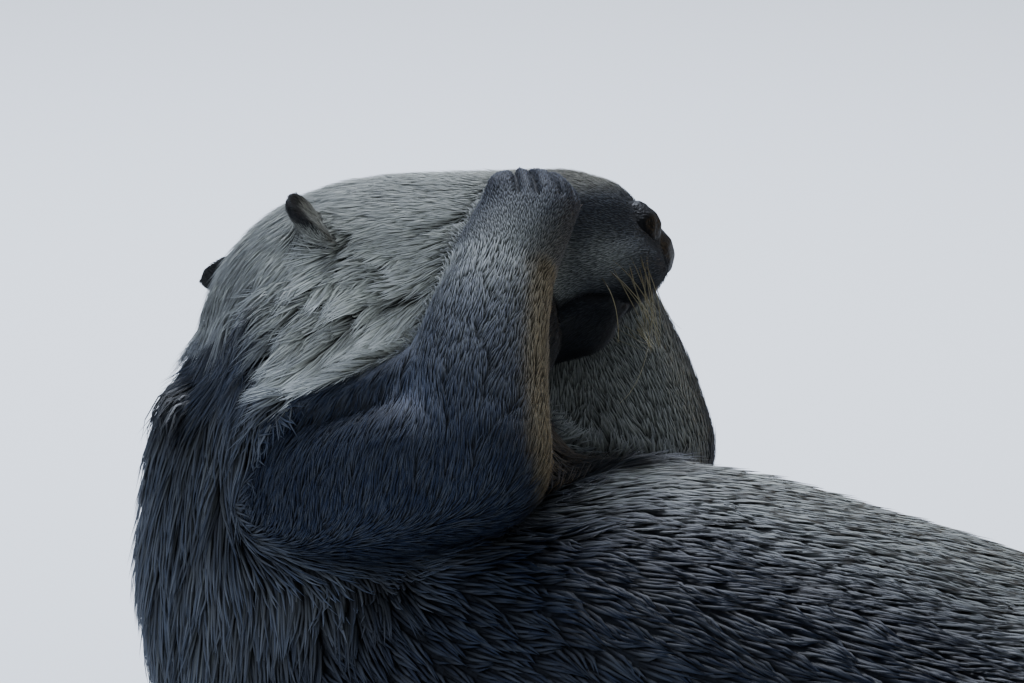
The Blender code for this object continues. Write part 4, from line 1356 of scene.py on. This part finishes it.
# Whiskers that hang free on the right: root, middle and tip, in the head's directions.
LOOSE_WHISKERS = [
    ((-1.3, -1.9, -1.2), (-1.1, -1.9, -2.4), (-0.55, -1.6, -2.8)),
    ((-1.5, -2.0, -1.2), (-1.9, -2.2, -4.3), (-3.2, -2.3, -5.0)),
    ((-3.2, -3.0, -0.9), (-2.9, -3.9, -1.8), (-3.3, -4.3, -3.2)),
    ((-2.9, -3.1, -0.7), (-2.2, -3.9, -1.7), (-1.9, -4.2, -3.0)),
]
chance = np.random.default_rng(7)


def whisker_line(root, middle, tip):
    """Points from root to tip, passing near middle."""
    t = np.linspace(0, 1, WHISKER_STEPS)[:, None]
    return (1 - t) ** 2 * np.array(root) + 2 * t * (1 - t) * np.array(middle) + t**2 * np.array(tip)


def whisker_lines(side):
    """Every whisker of one side, from its root on the pad."""
    sign = 1 if side == "left" else -1
    lines = []
    for row in range(WHISKER_ROWS):
        for k in range(WHISKERS_IN_ROW):
            back_by = ROOT_BEHIND + NEXT_BEHIND * k**WIDENING + ROW_BEHIND * row
            place = on_head(-back_by, sign * ROOT_ASIDE, -ROOT_BELOW - ROW_BELOW * row)
            root = SKIN_TREE.find_nearest(place)[0]
            x, y, z = WHISKERS_MEET[side] + TIPS_APART * chance.normal(size=3)
            out = LEFT * sign * chance.uniform(*BOW_OUT) * MM + AHEAD * chance.uniform(*BOW_AHEAD) * MM
            tip = on_head(x, y, z)
            lines.append(whisker_line(root, (root + tip) / 2 + out, tip))
    if side == "right":
        for root, middle, tip in LOOSE_WHISKERS:
            root = SKIN_TREE.find_nearest(on_head(*root))[0]
            lines.append(whisker_line(root, on_head(*middle), on_head(*tip)))
    return lines


# %% Sweeping the lines
def sweep_tree():
    """The node tree that sweeps a circle along lines."""
    inputs = {"Lines": "Geometry", "Radius at the root": "Float", "Hair": "Material"}
    tree, given = open_tree("Sweep lines into tapered hairs", inputs, "Hairs")
    share = add(tree, "GeometryNodeInputNamedAttribute", {"Name": "thick"}, data_type="FLOAT")
    curves = add(tree, "GeometryNodeMeshToCurve", {"Mesh": given["Lines"]})
    ring = add(tree, "GeometryNodeCurvePrimitiveCircle", {"Resolution": 8, "Radius": 1.0})
    radius = add(tree, "ShaderNodeMath", {0: share, 1: given["Radius at the root"]}, operation="MULTIPLY")
    links = {"Curve": curves, "Profile Curve": ring, "Scale": radius, "Fill Caps": True}
    swept = add(tree, "GeometryNodeCurveToMesh", links)
    smooth = add(tree, "GeometryNodeSetShadeSmooth", {"Geometry": swept})
    real = add(tree, "GeometryNodeRealizeInstances", {"Geometry": smooth})
    done = add(tree, "GeometryNodeSetMaterial", {"Geometry": real, "Material": given["Hair"]})
    add(tree, "NodeGroupOutput", {0: done})
    return tree


def whisker_hair():
    """A whisker: pale horn that lets a little light through, yellower towards the root."""
    made, tree, shader = blank("pale yellow whisker")
    share = add(tree, "ShaderNodeAttribute", attribute_name="thick").outputs["Fac"]
    tree.links.new(ramp(tree, share, [(0.0, "#a59d74"), (1.0, "#453d27")]), shader.inputs["Base Color"])
    shader.inputs["Roughness"].default_value = 0.3
    shader.inputs["Transmission Weight"].default_value = 0.15
    return made


SWEEP = sweep_tree()
WHISKER_HAIR = whisker_hair()
for side in ("right", "left"):
    lines = whisker_lines(side)
    numbers = np.arange(len(lines) * WHISKER_STEPS).reshape(len(lines), WHISKER_STEPS)
    steps = np.stack([numbers[:, :-1].ravel(), numbers[:, 1:].ravel()], axis=1)
    mesh = bpy.data.meshes.new(f"whiskers_{side}")
    mesh.from_pydata(np.concatenate(lines).tolist(), steps.tolist(), [])
    write(mesh, "thick", np.tile(np.linspace(1, TIP_THICKNESS, WHISKER_STEPS), len(lines)))
    whiskers = new_object(f"whiskers_{side}", mesh)
    set_inputs(whiskers, SWEEP, {"Radius at the root": WHISKER_RADIUS, "Hair": WHISKER_HAIR})
    bake(whiskers)
    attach(whiskers, "root")
    print(whiskers.name, len(lines), "whiskers,", len(whiskers.data.polygons), "faces")

# %% [markdown]
# ## Claws
#
# Each toe ends in a short dark claw, half hidden by fur. One claw is modelled, and Geometry Nodes set a copy
# on every tip, turned the way the toe points.

# %% One claw
CLAW_LENGTH = {"paw": 3.6 * MM, "hind_foot": 5.0 * MM}
CLAW_SUNK = {"paw": 1.05, "hind_foot": 0.75}
CLAW_RADIUS = 0.2
CLAW_HOOK = 0.3
CLAW_RINGS = 6
CLAW_SIDES = 10


def claw_shape():
    """A hooked cone of unit length along x, that curves towards -z."""
    work = bmesh.new()
    rings = []
    for share in np.linspace(0, 0.85, CLAW_RINGS):
        radius = CLAW_RADIUS * (1 - share) ** 0.7
        ring = []
        for k in range(CLAW_SIDES):
            turn = 2 * math.pi * k / CLAW_SIDES
            lift = radius * math.sin(turn) - CLAW_HOOK * share**2
            ring.append(work.verts.new((share, 0.7 * radius * math.cos(turn), lift)))
        rings.append(ring)
    tip = work.verts.new((1.0, 0.0, -CLAW_HOOK))
    work.faces.new(rings[0])
    close_rings(work, rings, tip)
    mesh = finished(work, bpy.data.meshes.new("claw"))
    mesh.shade_smooth()
    return new_object("claw", mesh)


# %% Setting the claws
def claw_tree():
    """The node tree that sets one claw on every toe tip."""
    inputs = {"Tips": "Geometry", "Claw": "Object", "Length": "Float", "Horn": "Material"}
    tree, given = open_tree("Set claws on toe tips", inputs, "Claws")
    ahead, back = (
        add(tree, "GeometryNodeInputNamedAttribute", {"Name": name}, data_type="FLOAT_VECTOR")
        for name in ("ahead", "back")
    )
    turn = add(tree, "FunctionNodeAlignRotationToVector", {"Vector": ahead}, axis="X")
    links = {"Rotation": turn, "Vector": back}
    turn = add(tree, "FunctionNodeAlignRotationToVector", links, axis="Z", pivot_axis="X")
    dots = add(tree, "GeometryNodeMeshToPoints", {"Mesh": given["Tips"]})
    shape = add(tree, "GeometryNodeObjectInfo", {"Object": given["Claw"]}).outputs["Geometry"]
    links = {"Points": dots, "Instance": shape, "Rotation": turn, "Scale": given["Length"]}
    placed = add(tree, "GeometryNodeInstanceOnPoints", links)
    real = add(tree, "GeometryNodeRealizeInstances", {"Geometry": placed})
    done = add(tree, "GeometryNodeSetMaterial", {"Geometry": real, "Material": given["Horn"]})
    add(tree, "NodeGroupOutput", {0: done})
    return tree


def claw_horn():
    """A claw: dark brown horn with faint lengthwise growth lines, smooth from wear."""
    made, tree, shader = blank("dark brown claw horn")
    place = add(tree, "ShaderNodeTexCoord").outputs["Object"]
    links = {"Vector": place, "Scale": 1 / (1.2 * MM), "Detail": 3.0}
    grain = add(tree, "ShaderNodeTexNoise", links).outputs["Fac"]
    tree.links.new(ramp(tree, grain, [(0.3, "#17110d"), (0.75, "#3d3128")]), shader.inputs["Base Color"])
    relief = add(tree, "ShaderNodeBump", {"Height": grain, "Strength": 0.3, "Distance": 0.1 * MM}).outputs[0]
    tree.links.new(relief, shader.inputs["Normal"])
    shader.inputs["Roughness"].default_value = 0.32
    return made


CLAW_TREE = claw_tree()
HORN = claw_horn()
claw = claw_shape()
claw.hide_render = True
for kind in BEFORE:
    for side in ("right", "left"):
        ends, aheads, backs = (np.array(rows) for rows in zip(*toe_tips(kind, side)))
        mesh = bpy.data.meshes.new(f"claws_{kind}_{side}")
        mesh.from_pydata((ends - CLAW_SUNK[kind] * CLAW_LENGTH[kind] * aheads).tolist(), [], [])
        write(mesh, "ahead", aheads)
        write(mesh, "back", backs)
        claws = new_object(f"claws_{kind}_{side}", mesh)
        set_inputs(claws, CLAW_TREE, {"Claw": claw, "Length": CLAW_LENGTH[kind], "Horn": HORN})
        bake(claws)
        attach(claws, "root")
        print(claws.name, len(ends), "claws")
bpy.data.objects.remove(claw)

# %% [markdown]
# ## Camera, floor and light
#
# The camera stands on the animal's right, a little above it, with a long lens, so that the face is seen from
# the side. The light is soft and slightly cool from above, with one warm light low behind the animal, which
# edges the fur.

# %% Camera
AZIMUTH = math.radians(18)
ELEVATION = math.radians(14)
DISTANCE = 3.0
VIEW_WIDTH = 0.3413
NOSE_RIGHT_OF_MIDDLE = 5.4 * CM
NOSE_ABOVE_MIDDLE = 3.05 * CM


def set_up(obj, place, way):
    """Puts a camera or a lamp at a place and turns it to look one way."""
    obj.location = place
    obj.rotation_mode = "QUATERNION"
    obj.rotation_quaternion = way.to_track_quat("-Z", "Y")


across = Vector((math.cos(AZIMUTH), math.sin(AZIMUTH), 0))
back = Vector(
    (math.sin(AZIMUTH) * math.cos(ELEVATION), -math.cos(AZIMUTH) * math.cos(ELEVATION), math.sin(ELEVATION))
)
upward = back.cross(across)
target = NOSE_TIP - across * NOSE_RIGHT_OF_MIDDLE - upward * NOSE_ABOVE_MIDDLE
camera = new_object("camera", bpy.data.cameras.new("camera"))
camera.data.sensor_width = 36.0
camera.data.lens = camera.data.sensor_width * DISTANCE / VIEW_WIDTH
set_up(camera, target + back * DISTANCE, -back)
bpy.context.scene.camera = camera

# %% Floor and lights
FLOOR_HALF = 6.0
floor_mesh = bpy.data.meshes.new("floor")
corners = [(x * FLOOR_HALF, y * FLOOR_HALF, 0) for x, y in ((-1, -1), (1, -1), (1, 1), (-1, 1))]
floor_mesh.from_pydata(corners, [], [(0, 1, 2, 3)])
floor = new_object("floor", floor_mesh)
paper, tree, shader = blank("pale matt board")
shader.inputs["Base Color"].default_value = colour("#d5d8da")
shader.inputs["Roughness"].default_value = 0.9
floor.data.materials.append(paper)


def area_light(name, place, aim, size, power, code):
    """A square soft light that faces aim."""
    lamp = bpy.data.lights.new(name, "AREA")
    lamp.size = size
    lamp.energy = power
    lamp.color = colour(code)[:3]
    set_up(new_object(name, lamp), place, aim - place)


chest = centre("chest")
area_light("overhead", chest + Vector((-0.6, 1.1, 1.7)), chest, 1.0, 110, "#e6eeff")
area_light("from_the_front", chest + Vector((-1.6, -1.8, 1.2)), chest, 1.5, 30, "#d3e0ff")
area_light("from_the_feet", chest + Vector((0.7, -2.1, 0.9)), chest, 1.2, 18, "#dfe7f5")
area_light("low_behind", chest + Vector((1.7, 1.5, 0.7)), chest, 0.5, 12, "#ffdca6")

world = bpy.data.worlds.new("studio")
world.use_nodes = True
world.node_tree.nodes["Background"].inputs["Color"].default_value = colour("#d3e0f2")
world.node_tree.nodes["Background"].inputs["Strength"].default_value = 0.42
bpy.context.scene.world = world
